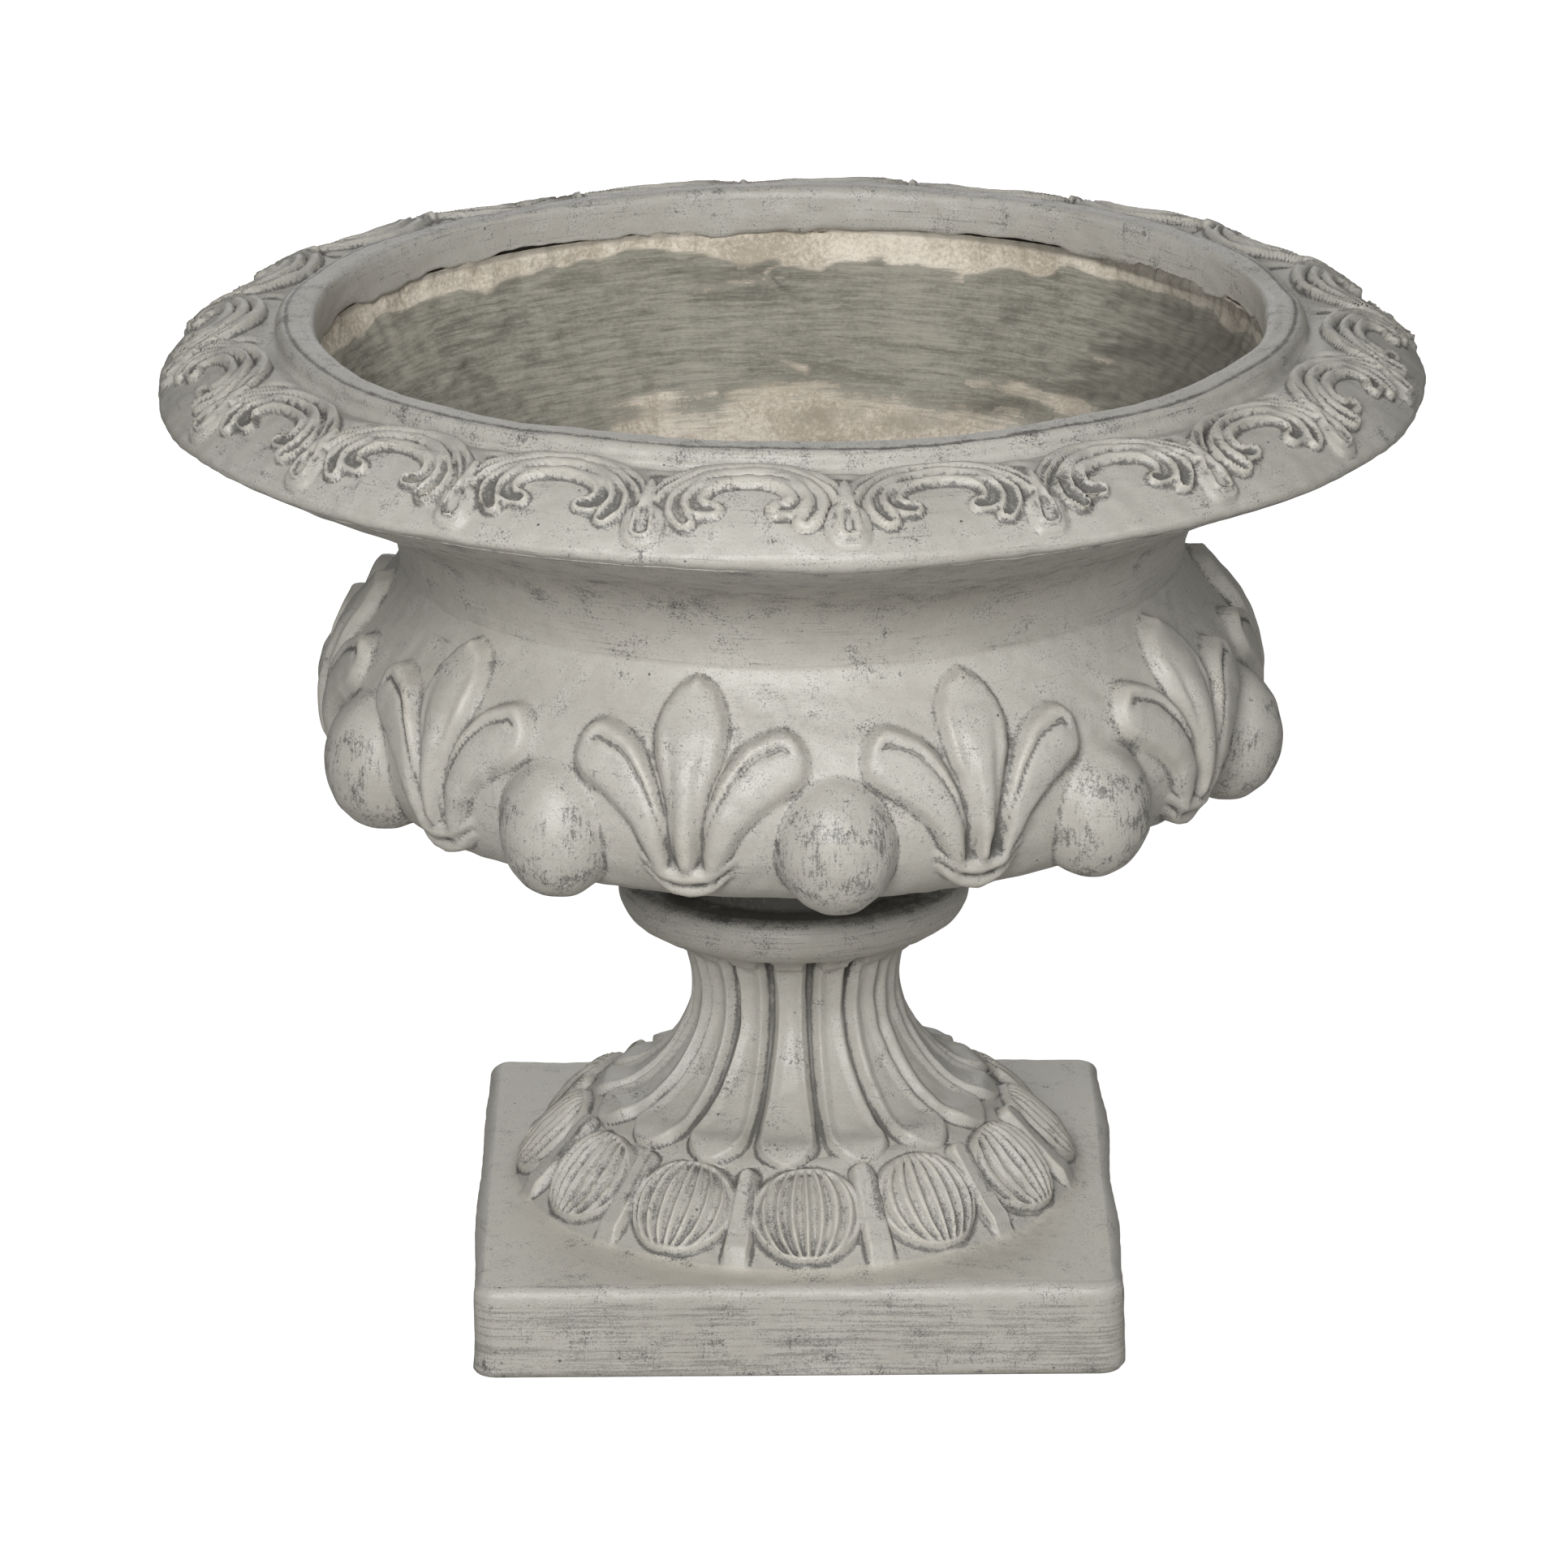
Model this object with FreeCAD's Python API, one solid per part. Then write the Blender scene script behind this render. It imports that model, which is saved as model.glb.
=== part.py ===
import FreeCAD
import Part
import math
import os

# Pedestal sizes, from the floor up
plinth_side = 348.0
plinth_height = 52.0
plinth_corner_round = 14.0
plinth_edge_round = 7.0
socle_radius = 154.0
socle_height = 46.0
socle_top_radius = 109.0
stem_foot_radius = 105.0
stem_height = 100.0
waist_radius = 56.0
waist_height = 64.0
stem_top_radius = 62.0
collar_root_radius = 73.0
collar_radius = 95.0
collar_height = 28.0
collar_edge_round = 7.0
pedestal_wall = 14.0
stem_bore_radius = 36.0

# Tongues round the stem
tongue_count = 16
tongue_turn = -3.0
tongue_relief = 3.5
tongue_gap = 4.0
tongue_lobe_height = 7.0

# Pods and darts round the socle
pod_count = 12
pod_turn = 2.3
pod_width = 53.0
pod_relief = 8.0
pod_ribs = 8
dart_width = 17.0
dart_relief = 5.0

# Bowl sizes, from the collar up
foot_radius = 72.0
foot_height = 14.0
belly_swell = 36.5
belly_lower_height = 94.0
belly_upper_height = 76.0
neck_radius = 209.5
neck_height = 40.0
soffit_flare = 20.5
soffit_height = 50.0
lip_radius = 337.5
lip_thickness = 6.0
lip_setback = 5.0
crown_height = 25.0
ring_outer_radius = 273.0
ring_inner_radius = 253.5
ring_height = 11.0
ring_bevel = 4.0
ring_depth = 23.0
ring_undercut = 10.5
bowl_wall = 14.0
bowl_floor_thickness = 24.0
bowl_floor_radius = 60.0
spigot_length = 24.0
spigot_clearance = 0.6
drain_radius = 12.0

# Berries and palmettes round the belly
berry_count = 10
bowl_turn = 5.0
berry_radius = 30.0
berry_sides = 12
berry_height = 74.0
berry_sink = 10.0
berry_drop = 52.0
palmette_height = 102.0
palmette_top_gap = 4.0
palmette_spread = 60.0
palmette_relief = 9.0
heart_petal_width = 42.0
side_petal_width = 36.0
calyx_width = 10.0
petal_ribs = 4
ornament_embed = 6.0

# Scroll arches and tassels round the crown
frieze_count = 20
frieze_turn = 13.8
scroll_spread = 31.0
scroll_width = 32.0
scroll_relief = 4.6
tassel_width = 24.0
tassel_relief = 5.0
frieze_ribs = 3

# Backing laid up inside both castings
backing_wall = 8.0
backing_clearance = 0.3
backing_setback = 6.0

# Drain plug
plug_head_radius = 18.0
plug_head_height = 4.0
plug_stem_length = 30.0
plug_taper = 1.5
plug_knob_radius = 6.0
plug_knob_height = 9.0
plug_clearance = 0.4

# Straight bands that make up each round stretch
belly_bands = 3
stem_bands = 4
small_bands = 2

# Length by which a cutting or joining shape runs past its face, and the steps that find a slope
overrun = 6.0
probe_step = 0.5
crown_steps = 40

# Middle points of the round stretches: share across, then share up
stem_mid_share = (0.625, 0.36)
collar_mid_share = (0.60, 0.42)
brim_mid_share = (0.29, 0.71)
underside_share = (0.68, 0.36)
belly_mid_share = (0.74, 0.42)
shoulder_share = (0.62, 0.55)
shoulder_mid_share = (0.28, 0.54)
neck_rise_mid_share = (0.60, 0.42)
neck_mid_share = (0.20, 0.55)
crown_share = (0.42, 0.87)
crown_mid_share = (0.46, 0.56)
crown_top_mid_share = (0.49, 1.37)
inner_low_share = (0.80, 0.45)

# Ornaments: share up the length, share sideways where it has one, share of the width, share of the relief
heart_shares = ((0.02, 0.0, 0.22, 0.4), (0.26, 0.0, 0.56, 0.9), (0.58, 0.0, 1.0, 1.0),
                (0.82, 0.0, 0.74, 0.85), (1.0, 0.0, 0.10, 0.2))
side_shares = ((0.02, 0.08, 0.24, 0.4), (0.34, 0.36, 0.72, 1.0),
               (0.58, 0.78, 1.0, 0.9), (0.74, 1.06, 0.40, 0.2))
calyx_shares = ((0.07, -0.42, 0.5, 0.4), (-0.02, -0.14, 1.0, 0.8),
                (-0.02, 0.14, 1.0, 0.8), (0.07, 0.42, 0.5, 0.4))
berry_shares = ((0.0, 0.28), (0.12, 0.72), (0.38, 1.0), (0.66, 0.92), (0.88, 0.60), (1.0, 0.22))
scroll_shares = ((0.20, -0.76, 0.50, 0.7), (0.42, -1.0, 0.76, 1.0), (0.65, -0.66, 1.0, 1.0),
                 (0.73, 0.0, 1.0, 1.0), (0.65, 0.66, 1.0, 1.0), (0.42, 1.0, 0.76, 1.0),
                 (0.20, 0.76, 0.50, 0.7))
tassel_shares = ((0.03, 0.0, 0.80, 0.5), (0.20, 0.0, 1.0, 0.9), (0.56, 0.0, 0.50, 0.8))
pod_shares = ((0.15, 0.44, 0.3), (0.40, 0.96, 0.95), (0.72, 0.96, 0.95), (0.97, 0.44, 0.3))
dart_shares = ((0.08, 0.9, 0.6), (0.76, 1.0, 1.0), (0.95, 0.4, 0.3))

full_turn = 360.0
upright = 0.9
up = FreeCAD.Vector(0, 0, 1)
origin = FreeCAD.Vector(0, 0, 0)

# Radii that follow from the neck: the belly swells out below it and the soffit flares above it
belly_radius = neck_radius + belly_swell
soffit_radius = neck_radius + soffit_flare
berry_place_radius = belly_radius - berry_sink

# Levels that follow from the stacked heights
socle_top = plinth_height + socle_height
waist_level = socle_top + waist_height
collar_under = socle_top + stem_height
collar_top = collar_under + collar_height
foot_top = collar_top + foot_height
belly_level = foot_top + belly_lower_height
neck_level = belly_level + belly_upper_height
soffit_level = neck_level + neck_height
lip_under = soffit_level + soffit_height
lip_level = lip_under + lip_thickness
ring_base = lip_level + crown_height
bowl_top = ring_base + ring_height
ledge_level = bowl_top - ring_depth
casting_floor = collar_top + bowl_floor_thickness
spigot_bottom = collar_top - spigot_length


# Outline helpers: an outline lies in the XZ plane, with x as the radius
def at(radius, height):
    return FreeCAD.Vector(radius, 0, height)


def between(start, end, shares):
    return at(start.x + (end.x - start.x) * shares[0], start.z + (end.z - start.z) * shares[1])


def lines(*points):
    return [Part.makeLine(a, b) for a, b in zip(points, points[1:])]


def bend(start, end, shares, bands):
    # A round stretch, turned as a few straight bands
    curve = Part.Arc(start, between(start, end, shares), end).toShape()
    return lines(*curve.discretize(bands + 1))


def turned(edges):
    return Part.Face(Part.Wire(edges)).revolve(origin, up, full_turn)


def rod(radius, bottom, top):
    return Part.makeCylinder(radius, top - bottom, at(0, bottom))


def around(shape, count, first_turn):
    # Copies round the axis, the first at the front, which faces -Y
    copies = []
    for index in range(count):
        copy = shape.copy()
        copy.rotate(origin, up, first_turn - full_turn / 4 + full_turn * index / count)
        copies.append(copy)
    return copies


def rounded_box(side, bottom, top):
    box = Part.makeBox(side, side, top - bottom, FreeCAD.Vector(-side / 2, -side / 2, bottom))
    posts = [edge for edge in box.Edges if abs(edge.tangentAt(edge.FirstParameter).z) > upright]
    return box.makeFillet(plinth_corner_round, posts)


# Raised ornaments: ribbed sections along a path, lofted, with their edges sunk in the surface below
def ribbed_section(point, outward, across, relief, ribs):
    corners = []
    for index in range(ribs + 1):
        angle = math.pi * index / ribs
        rise = (relief + ornament_embed) * math.sin(angle) - ornament_embed
        corners.append(point - across * math.cos(angle) + outward * rise)
    return Part.makePolygon(corners + corners[:1])


def lofted(sections):
    return Part.makeLoft(sections, True, True)


# Pedestal
def flare(inset, bands):
    foot = at(stem_foot_radius - inset, socle_top)
    waist = at(waist_radius - inset, waist_level)
    return bend(foot, waist, stem_mid_share, bands)


def stem(inset):
    waist = at(waist_radius - inset, waist_level)
    return flare(inset, stem_bands) + lines(waist, at(stem_top_radius - inset, collar_under))


def pedestal_core():
    base = plinth_height - overrun
    root = at(collar_root_radius, collar_under)
    shoulder = at(collar_radius, collar_top - collar_edge_round)
    brim = at(collar_radius - collar_edge_round, collar_top)
    edges = lines(at(0, base), at(socle_radius, base), at(socle_radius, plinth_height),
                  at(socle_top_radius, socle_top), at(stem_foot_radius - tongue_relief, socle_top))
    edges += stem(tongue_relief)
    edges += lines(at(stem_top_radius - tongue_relief, collar_under), root)
    edges += bend(root, shoulder, collar_mid_share, small_bands)
    edges += bend(shoulder, brim, brim_mid_share, small_bands)
    edges += lines(brim, at(0, collar_top), at(0, base))
    return turned(edges)


def tongue_layer():
    under = tongue_relief + ornament_embed
    edges = stem(0) + lines(at(stem_top_radius, collar_under), at(stem_top_radius - under, collar_under))
    edges += list(reversed(stem(under)))
    edges += lines(at(stem_foot_radius - under, socle_top), at(stem_foot_radius, socle_top))
    return turned(edges)


def tongue():
    # A flared outline pushed out from the axis and kept where it lies in the tongues' layer
    lobe_level = socle_top + tongue_lobe_height
    foot = at(stem_foot_radius, socle_top)
    waist = at(waist_radius, waist_level)
    middle = between(foot, waist, stem_mid_share)
    lobe = between(foot, middle, (tongue_lobe_height / (middle.z - foot.z),) * 2)
    spots = [at(stem_top_radius, collar_under), waist, middle, at(lobe.x, lobe_level)]
    halves = [spot.x * math.tan(math.pi / tongue_count) - tongue_gap / 2 for spot in spots]
    right = [FreeCAD.Vector(0, half, spot.z) for half, spot in zip(halves, spots)]
    left = [FreeCAD.Vector(0, -half, spot.z) for half, spot in zip(halves, spots)]
    tip = FreeCAD.Vector(0, 0, socle_top)
    outline = lines(left[1], left[0], right[0], right[1])
    outline.append(Part.Arc(right[1], right[2], right[3]).toShape())
    outline.append(Part.Arc(right[3], tip, left[3]).toShape())
    outline.append(Part.Arc(left[3], left[2], left[1]).toShape())
    push = at(stem_foot_radius + overrun, 0)
    return Part.Face(Part.Wire(outline)).extrude(push).common(tongue_layer())


def socle_boss(shares, width, relief, ribs):
    foot = at(socle_radius, plinth_height)
    along = at(socle_top_radius, socle_top) - foot
    outward = FreeCAD.Vector(along.z, 0, -along.x).normalize()
    sections = []
    for rise, wide, proud in shares:
        across = FreeCAD.Vector(0, wide * width / 2, 0)
        sections.append(ribbed_section(foot + along * rise, outward, across, proud * relief, ribs))
    return lofted(sections)


def plinth():
    slab = rounded_box(plinth_side, 0, plinth_height)
    rim = [edge for edge in slab.Edges if edge.BoundBox.ZMin > plinth_height / 2]
    return slab.makeFillet(plinth_edge_round, rim)


def pedestal_hollow(inset, bottom):
    ceiling = plinth_height - pedestal_wall - inset
    pocket = rounded_box(plinth_side - 2 * (pedestal_wall + inset), bottom, ceiling)
    depth = tongue_relief + pedestal_wall + inset
    foot = at(stem_foot_radius - depth, socle_top)
    waist = at(waist_radius - depth, waist_level)
    edges = lines(at(0, bottom), at(foot.x, bottom), foot) + flare(depth, small_bands)
    edges += lines(waist, at(0, waist_level), at(0, bottom))
    return pocket.fuse(turned(edges))


def pedestal():
    ornaments = around(tongue(), tongue_count, tongue_turn)
    ornaments += around(socle_boss(pod_shares, pod_width, pod_relief, pod_ribs), pod_count, pod_turn)
    dart = socle_boss(dart_shares, dart_width, dart_relief, pod_ribs // 2)
    ornaments += around(dart, pod_count, pod_turn + full_turn / pod_count / 2)
    solid = pedestal_core().multiFuse(ornaments + [plinth()])
    bore = rod(stem_bore_radius, waist_level - overrun, collar_top + overrun)
    return solid.cut(pedestal_hollow(0, -overrun)).cut(bore)


def pedestal_backing():
    inset = backing_clearance + backing_wall
    outer = pedestal_hollow(backing_clearance, backing_setback)
    inner = pedestal_hollow(inset, -overrun)
    drain = rod(waist_radius - tongue_relief - pedestal_wall - inset, plinth_height, collar_top)
    return outer.cut(inner).cut(drain)


# Bowl
def belly_edges():
    foot = at(foot_radius, foot_top)
    widest = at(belly_radius, belly_level)
    neck = at(neck_radius, neck_level)
    turn = between(foot, widest, underside_share)
    shoulder = between(widest, neck, (1 - shoulder_share[0], shoulder_share[1]))
    edges = lines(foot, turn) + bend(turn, widest, belly_mid_share, belly_bands)
    edges += bend(widest, shoulder, shoulder_mid_share, small_bands)
    return edges + bend(shoulder, neck, neck_rise_mid_share, small_bands)


def crown_edges():
    lip = at(lip_radius, lip_level)
    ring = at(ring_outer_radius, ring_base)
    crown = between(lip, ring, crown_share)
    return bend(lip, crown, crown_mid_share, small_bands) + bend(crown, ring, crown_top_mid_share, small_bands)


def bowl_outside():
    spigot_radius = stem_bore_radius - spigot_clearance
    neck = at(neck_radius, neck_level)
    soffit = at(soffit_radius, soffit_level)
    lip = at(lip_radius, lip_level)
    ring = at(ring_outer_radius, ring_base)
    edges = lines(at(0, spigot_bottom), at(spigot_radius, spigot_bottom), at(spigot_radius, collar_top),
                  at(foot_radius, collar_top), at(foot_radius, foot_top))
    edges += belly_edges() + bend(neck, soffit, neck_mid_share, small_bands)
    edges += lines(soffit, at(lip_radius - lip_setback, lip_under), lip) + crown_edges()
    edges += lines(ring, at(ring_outer_radius, bowl_top - ring_bevel),
                   at(ring_outer_radius - ring_bevel, bowl_top), at(0, bowl_top), at(0, spigot_bottom))
    return turned(edges)


def bowl_inside(inset, top):
    # The hollow of the bowl, from its floor up to the ledge under the ring
    wall_radius = ring_inner_radius + ring_undercut + bowl_wall - inset
    floor = at(bowl_floor_radius, casting_floor + inset - bowl_wall)
    widest = at(belly_radius - inset, belly_level)
    neck = at(neck_radius - inset, neck_level)
    slope_top = at(wall_radius, (ledge_level + lip_under) / 2)
    low = between(floor, widest, inner_low_share)
    return turned(lines(at(0, floor.z), floor, low, widest, neck, slope_top,
                        at(wall_radius, top), at(0, top), at(0, floor.z)))


def berry():
    # An egg: round sections stacked up its height
    bottom = belly_level - berry_drop
    sections = []
    for rise, wide in berry_shares:
        centre = at(berry_place_radius, bottom + berry_height * rise)
        corners = []
        for index in range(berry_sides + 1):
            angle = 2 * math.pi * index / berry_sides
            spoke = FreeCAD.Vector(math.cos(angle), math.sin(angle), 0)
            corners.append(centre + spoke * (berry_radius * wide))
        sections.append(Part.makePolygon(corners))
    return lofted(sections)


def carried(spots, sideways):
    # The middle one of three spots up an outline, carried round by a length, and the way out from it
    rising = (spots[2] - spots[0]).normalize()
    spin = FreeCAD.Rotation(up, math.degrees(sideways / spots[1].x))
    return spin.multVec(spots[1]), spin.multVec(FreeCAD.Vector(rising.z, 0, -rising.x))


def on_belly(level, sideways):
    meridian = Part.Wire(belly_edges())
    spots = []
    for height in (level - probe_step, level, level + probe_step):
        probe = Part.makeLine(at(0, height), at(lip_radius, height))
        spots.append(meridian.distToShape(probe)[1][0][0])
    return carried(spots, sideways)


def on_crown(rise, sideways):
    trail = Part.Wire(crown_edges()).discretize(crown_steps + 1)
    index = round(crown_steps * rise)
    return carried(trail[index - 1:index + 2], sideways)


def leaf(spots, shares, width, relief, ribs):
    # A raised ornament that runs through spots of a surface
    sections = []
    for index, (point, outward) in enumerate(spots):
        before = spots[max(index - 1, 0)][0]
        after = spots[min(index + 1, len(spots) - 1)][0]
        across = (after - before).cross(outward).normalize() * (width * shares[index][2] / 2)
        sections.append(ribbed_section(point, outward, across, relief * shares[index][3], ribs))
    return lofted(sections)


def belly_leaf(shares, width, side):
    bottom = neck_level - palmette_top_gap - palmette_height
    reach = side * palmette_spread
    spots = [on_belly(bottom + palmette_height * share[0], reach * share[1]) for share in shares]
    return leaf(spots, shares, width, palmette_relief, petal_ribs)


def crown_leaf(shares, width, relief):
    spots = [on_crown(share[0], scroll_spread * share[1]) for share in shares]
    return leaf(spots, shares, width, relief, frieze_ribs)


def bowl():
    leaves = [belly_leaf(side_shares, side_petal_width, side) for side in (-1, 1)]
    leaves.append(belly_leaf(heart_shares, heart_petal_width, 1))
    leaves.append(belly_leaf(calyx_shares, calyx_width, 1))
    ornaments = around(berry(), berry_count, bowl_turn)
    for petal in leaves:
        ornaments += around(petal, berry_count, bowl_turn + full_turn / berry_count / 2)
    ornaments += around(crown_leaf(scroll_shares, scroll_width, scroll_relief), frieze_count, frieze_turn)
    tassel = crown_leaf(tassel_shares, tassel_width, tassel_relief)
    ornaments += around(tassel, frieze_count, frieze_turn + full_turn / frieze_count / 2)
    solid = bowl_outside().multiFuse(ornaments)
    mouth = rod(ring_inner_radius, ledge_level - overrun, bowl_top + overrun)
    drain = rod(drain_radius, spigot_bottom - overrun, bowl_top)
    return solid.cut(bowl_inside(bowl_wall, ledge_level)).cut(mouth).cut(drain)


def bowl_backing():
    inset = bowl_wall + backing_clearance
    outer = bowl_inside(inset, ledge_level - backing_clearance)
    inner = bowl_inside(inset + backing_wall, ledge_level + overrun)
    return outer.cut(inner).cut(rod(drain_radius, spigot_bottom, bowl_top))


def drain_plug():
    seat = casting_floor + backing_clearance + backing_wall
    tip = seat - plug_stem_length
    head_top = seat + plug_head_height
    knob_top = head_top + plug_knob_height
    stem_radius = drain_radius - plug_clearance
    return turned(lines(at(0, tip), at(stem_radius - plug_taper, tip), at(stem_radius, seat),
                        at(plug_head_radius, seat), at(plug_head_radius, head_top),
                        at(plug_knob_radius, head_top), at(plug_knob_radius, knob_top),
                        at(0, knob_top), at(0, tip)))


os.makedirs("parts", exist_ok=True)
for make in (pedestal, pedestal_backing, bowl, bowl_backing, drain_plug):
    shape = make()
    print(make.__name__, len(shape.Solids), "solid", round(shape.Volume), "mm3, valid", shape.isValid())
    shape.exportStep(f"parts/{make.__name__}.step")
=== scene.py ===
# %% [markdown]
# A garden urn in cast stone: a loose bowl that stands on a hollow pedestal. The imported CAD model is
# loaded first. It holds the sizes, the bodies and the joints, and every piece below is drawn round it
# in the same frame. Lengths are written in millimetres and turned into metres when a mesh is made.

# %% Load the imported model
import math

import bpy
import numpy as np
from mathutils import Matrix, Vector


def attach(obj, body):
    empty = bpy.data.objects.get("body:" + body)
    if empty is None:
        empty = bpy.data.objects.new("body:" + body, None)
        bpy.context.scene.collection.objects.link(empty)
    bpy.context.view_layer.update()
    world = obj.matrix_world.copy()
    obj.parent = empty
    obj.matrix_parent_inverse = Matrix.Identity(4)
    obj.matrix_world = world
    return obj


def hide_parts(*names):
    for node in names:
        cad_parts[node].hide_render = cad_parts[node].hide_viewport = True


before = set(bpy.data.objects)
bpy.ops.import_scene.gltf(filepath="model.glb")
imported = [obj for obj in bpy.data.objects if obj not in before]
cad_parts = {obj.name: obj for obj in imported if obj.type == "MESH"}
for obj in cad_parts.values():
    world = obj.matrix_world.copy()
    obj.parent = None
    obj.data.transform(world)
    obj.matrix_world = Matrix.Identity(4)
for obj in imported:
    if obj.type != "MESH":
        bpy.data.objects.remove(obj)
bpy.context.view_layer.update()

MM = 0.001
scene = bpy.context.scene

# %% [markdown]
# The photograph is taken from the front, a little above the rim, with a long lens, so the sides of the
# plinth hardly converge. A long lens means a camera far away with a small angle of view. The object
# leans by less than half a degree, which is a roll of the camera.

# %% Camera
IMAGE_SIDE = 1932
FOCAL_PIXELS = 9700
SENSOR_WIDTH = 36
PITCH = math.radians(18.7)
ROLL = math.radians(-0.4)
DISTANCE = 4268
AIM = Vector((-5.3, 0, 274.9))

lens = bpy.data.cameras.new("long_lens")
lens.sensor_width = SENSOR_WIDTH
lens.lens = SENSOR_WIDTH * FOCAL_PIXELS / IMAGE_SIDE
camera = bpy.data.objects.new("camera", lens)
scene.collection.objects.link(camera)
towards_camera = Vector((0, -math.cos(PITCH), math.sin(PITCH)))
tilt = Matrix.Rotation(math.pi / 2 - PITCH, 4, "X") @ Matrix.Rotation(ROLL, 4, "Z")
camera.matrix_world = Matrix.Translation((AIM + towards_camera * DISTANCE) * MM) @ tilt
scene.camera = camera
scene.view_settings.view_transform = "Standard"
print("lens", round(lens.lens, 1), "mm")

# %% [markdown]
# Materials are networks of nodes. Written as calls they are hard to read, so one small class wraps a
# socket and lets sums and products be written as sums and products. Each operator adds one Math node.
# Every other node comes from one method, which takes the node's type, its settings and its inputs.
# The Mix node has a set of sockets for each kind of data, so those for colours go by their numbers.

# %% Shader helper
MIX_FACTOR, MIX_FIRST, MIX_SECOND, MIX_RESULT = 0, 6, 7, 2


class Wire:
    """One socket of a node tree, with arithmetic."""

    def __init__(self, tree, socket=None):
        self.tree = tree
        self.socket = socket

    def node(self, kind, settings=None, inputs=None, output=0):
        made = self.tree.nodes.new(kind)
        for key, value in (settings or {}).items():
            setattr(made, key, value)
        for key, value in (inputs or {}).items():
            if isinstance(value, Wire):
                self.tree.links.new(value.socket, made.inputs[key])
            else:
                made.inputs[key].default_value = value
        return Wire(self.tree, made.outputs[output] if made.outputs else None)

    def maths(self, operation, first, second):
        return self.node("ShaderNodeMath", {"operation": operation}, {0: first, 1: second})

    def __add__(self, other):
        return self.maths("ADD", self, other)

    __radd__ = __add__

    def __sub__(self, other):
        return self.maths("SUBTRACT", self, other)

    def __rsub__(self, other):
        return self.maths("SUBTRACT", other, self)

    def __mul__(self, other):
        return self.maths("MULTIPLY", self, other)

    __rmul__ = __mul__

    def noise(self, scale, detail, roughness=0.55, stretch=(1, 1, 1), tilt=(0, 0, 0)):
        place = self.node("ShaderNodeMapping", {}, {"Vector": self, "Rotation": tilt, "Scale": stretch})
        return self.node("ShaderNodeTexNoise", {}, {"Vector": place, "Scale": scale, "Detail": detail,
                                                    "Roughness": roughness})

    def swing(self, amount):
        # A noise lies about a half, and this makes it swing about zero
        return (self - 0.5) * amount

    def ramp(self, low, high):
        return self.node("ShaderNodeMapRange", {"interpolation_type": "SMOOTHSTEP"},
                         {"Value": self, "From Min": low, "From Max": high})

    def mix(self, first, second):
        return self.node("ShaderNodeMix", {"data_type": "RGBA"},
                         {MIX_FACTOR: self, MIX_FIRST: first, MIX_SECOND: second}, MIX_RESULT)

    def mark(self, name):
        return self.node("ShaderNodeAttribute", {"attribute_name": name}, {}, "Fac")


print("shader helper ready")

# %% [markdown]
# Three finishes follow, and all begin and end alike. Each reads Object coordinates, so that a pattern
# moves with its piece. A Bump node turns a height into small bends of the surface, and its depth is in
# millimetres here.

# %% Finish helpers
def new_finish(name):
    material = bpy.data.materials.new(name)
    material.use_nodes = True
    material.node_tree.nodes.clear()
    return material, Wire(material.node_tree)


def close_finish(tree, colour, roughness, relief, strength, depth, gloss):
    bump = tree.node("ShaderNodeBump", {}, {"Height": relief, "Strength": strength, "Distance": depth * MM})
    surface = tree.node("ShaderNodeBsdfPrincipled", {},
                        {"Base Color": colour, "Roughness": roughness, "Normal": bump,
                         "Specular IOR Level": gloss})
    tree.node("ShaderNodeOutputMaterial", {}, {"Surface": surface})


print("finish helpers ready")

# %% [markdown]
# The cast stone is a warm light grey with cloudy mottling, pinholes where air stayed in the mould, and
# a dark wash that was brushed on and wiped off, so that it stays in the hollows and in streaks. The same
# dark colour paints shade into hollows, grooves, creases and the places under the bowl and the rim, and
# the cream paints light on raised parts and on the plinth top. Where these go depends on the carving, so
# each mesh carries marks: `recess` for hollows and painted shade, `crest` for worn edges and painted
# highlights, `brush` for level streaks and `streak` for upright ones. A painted picture could hold all
# this too, but noises have no seams and stay sharp from close by.

# %% Cast stone
STONE_LIGHT = (0.520, 0.503, 0.462, 1)
STONE_MID = (0.420, 0.403, 0.360, 1)
STONE_CREAM = (0.640, 0.605, 0.520, 1)
# the dark colour of the brushed wash, used also for painted shade
STONE_WASH_AND_SHADE = (0.065, 0.063, 0.058, 1)
HOLE_CELLS = 95.0

cast_stone, tree = new_finish("cast_stone")
place = tree.node("ShaderNodeTexCoord", output="Object")
clouds = place.noise(11, 5)
patches = place.noise(60, 5, 0.65)
grime = place.noise(210, 4, 0.7)
grain = place.noise(1000, 3, 0.65)
level_lines = place.noise(2.0, 4, 0.7, (10, 10, 330))
upright_lines = place.noise(1.5, 5, 0.75, (380, 380, 34))
tone = (clouds * 0.4 + patches * 0.3 + grime * 0.3).ramp(0.36, 0.64)

cells = {"Vector": place, "Scale": HOLE_CELLS}
hole_edge = tree.node("ShaderNodeTexVoronoi", {}, cells, "Distance").ramp(0.045, 0.085)
hole_pick = tree.node("ShaderNodeTexVoronoi", {}, cells, "Color")
picked = tree.node("ShaderNodeSeparateColor", {}, {"Color": hole_pick}, "Red").ramp(0.86, 0.90)
pinhole = (1 - hole_edge) * picked
print("cast stone starts from", len(cast_stone.node_tree.nodes), "nodes")
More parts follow.
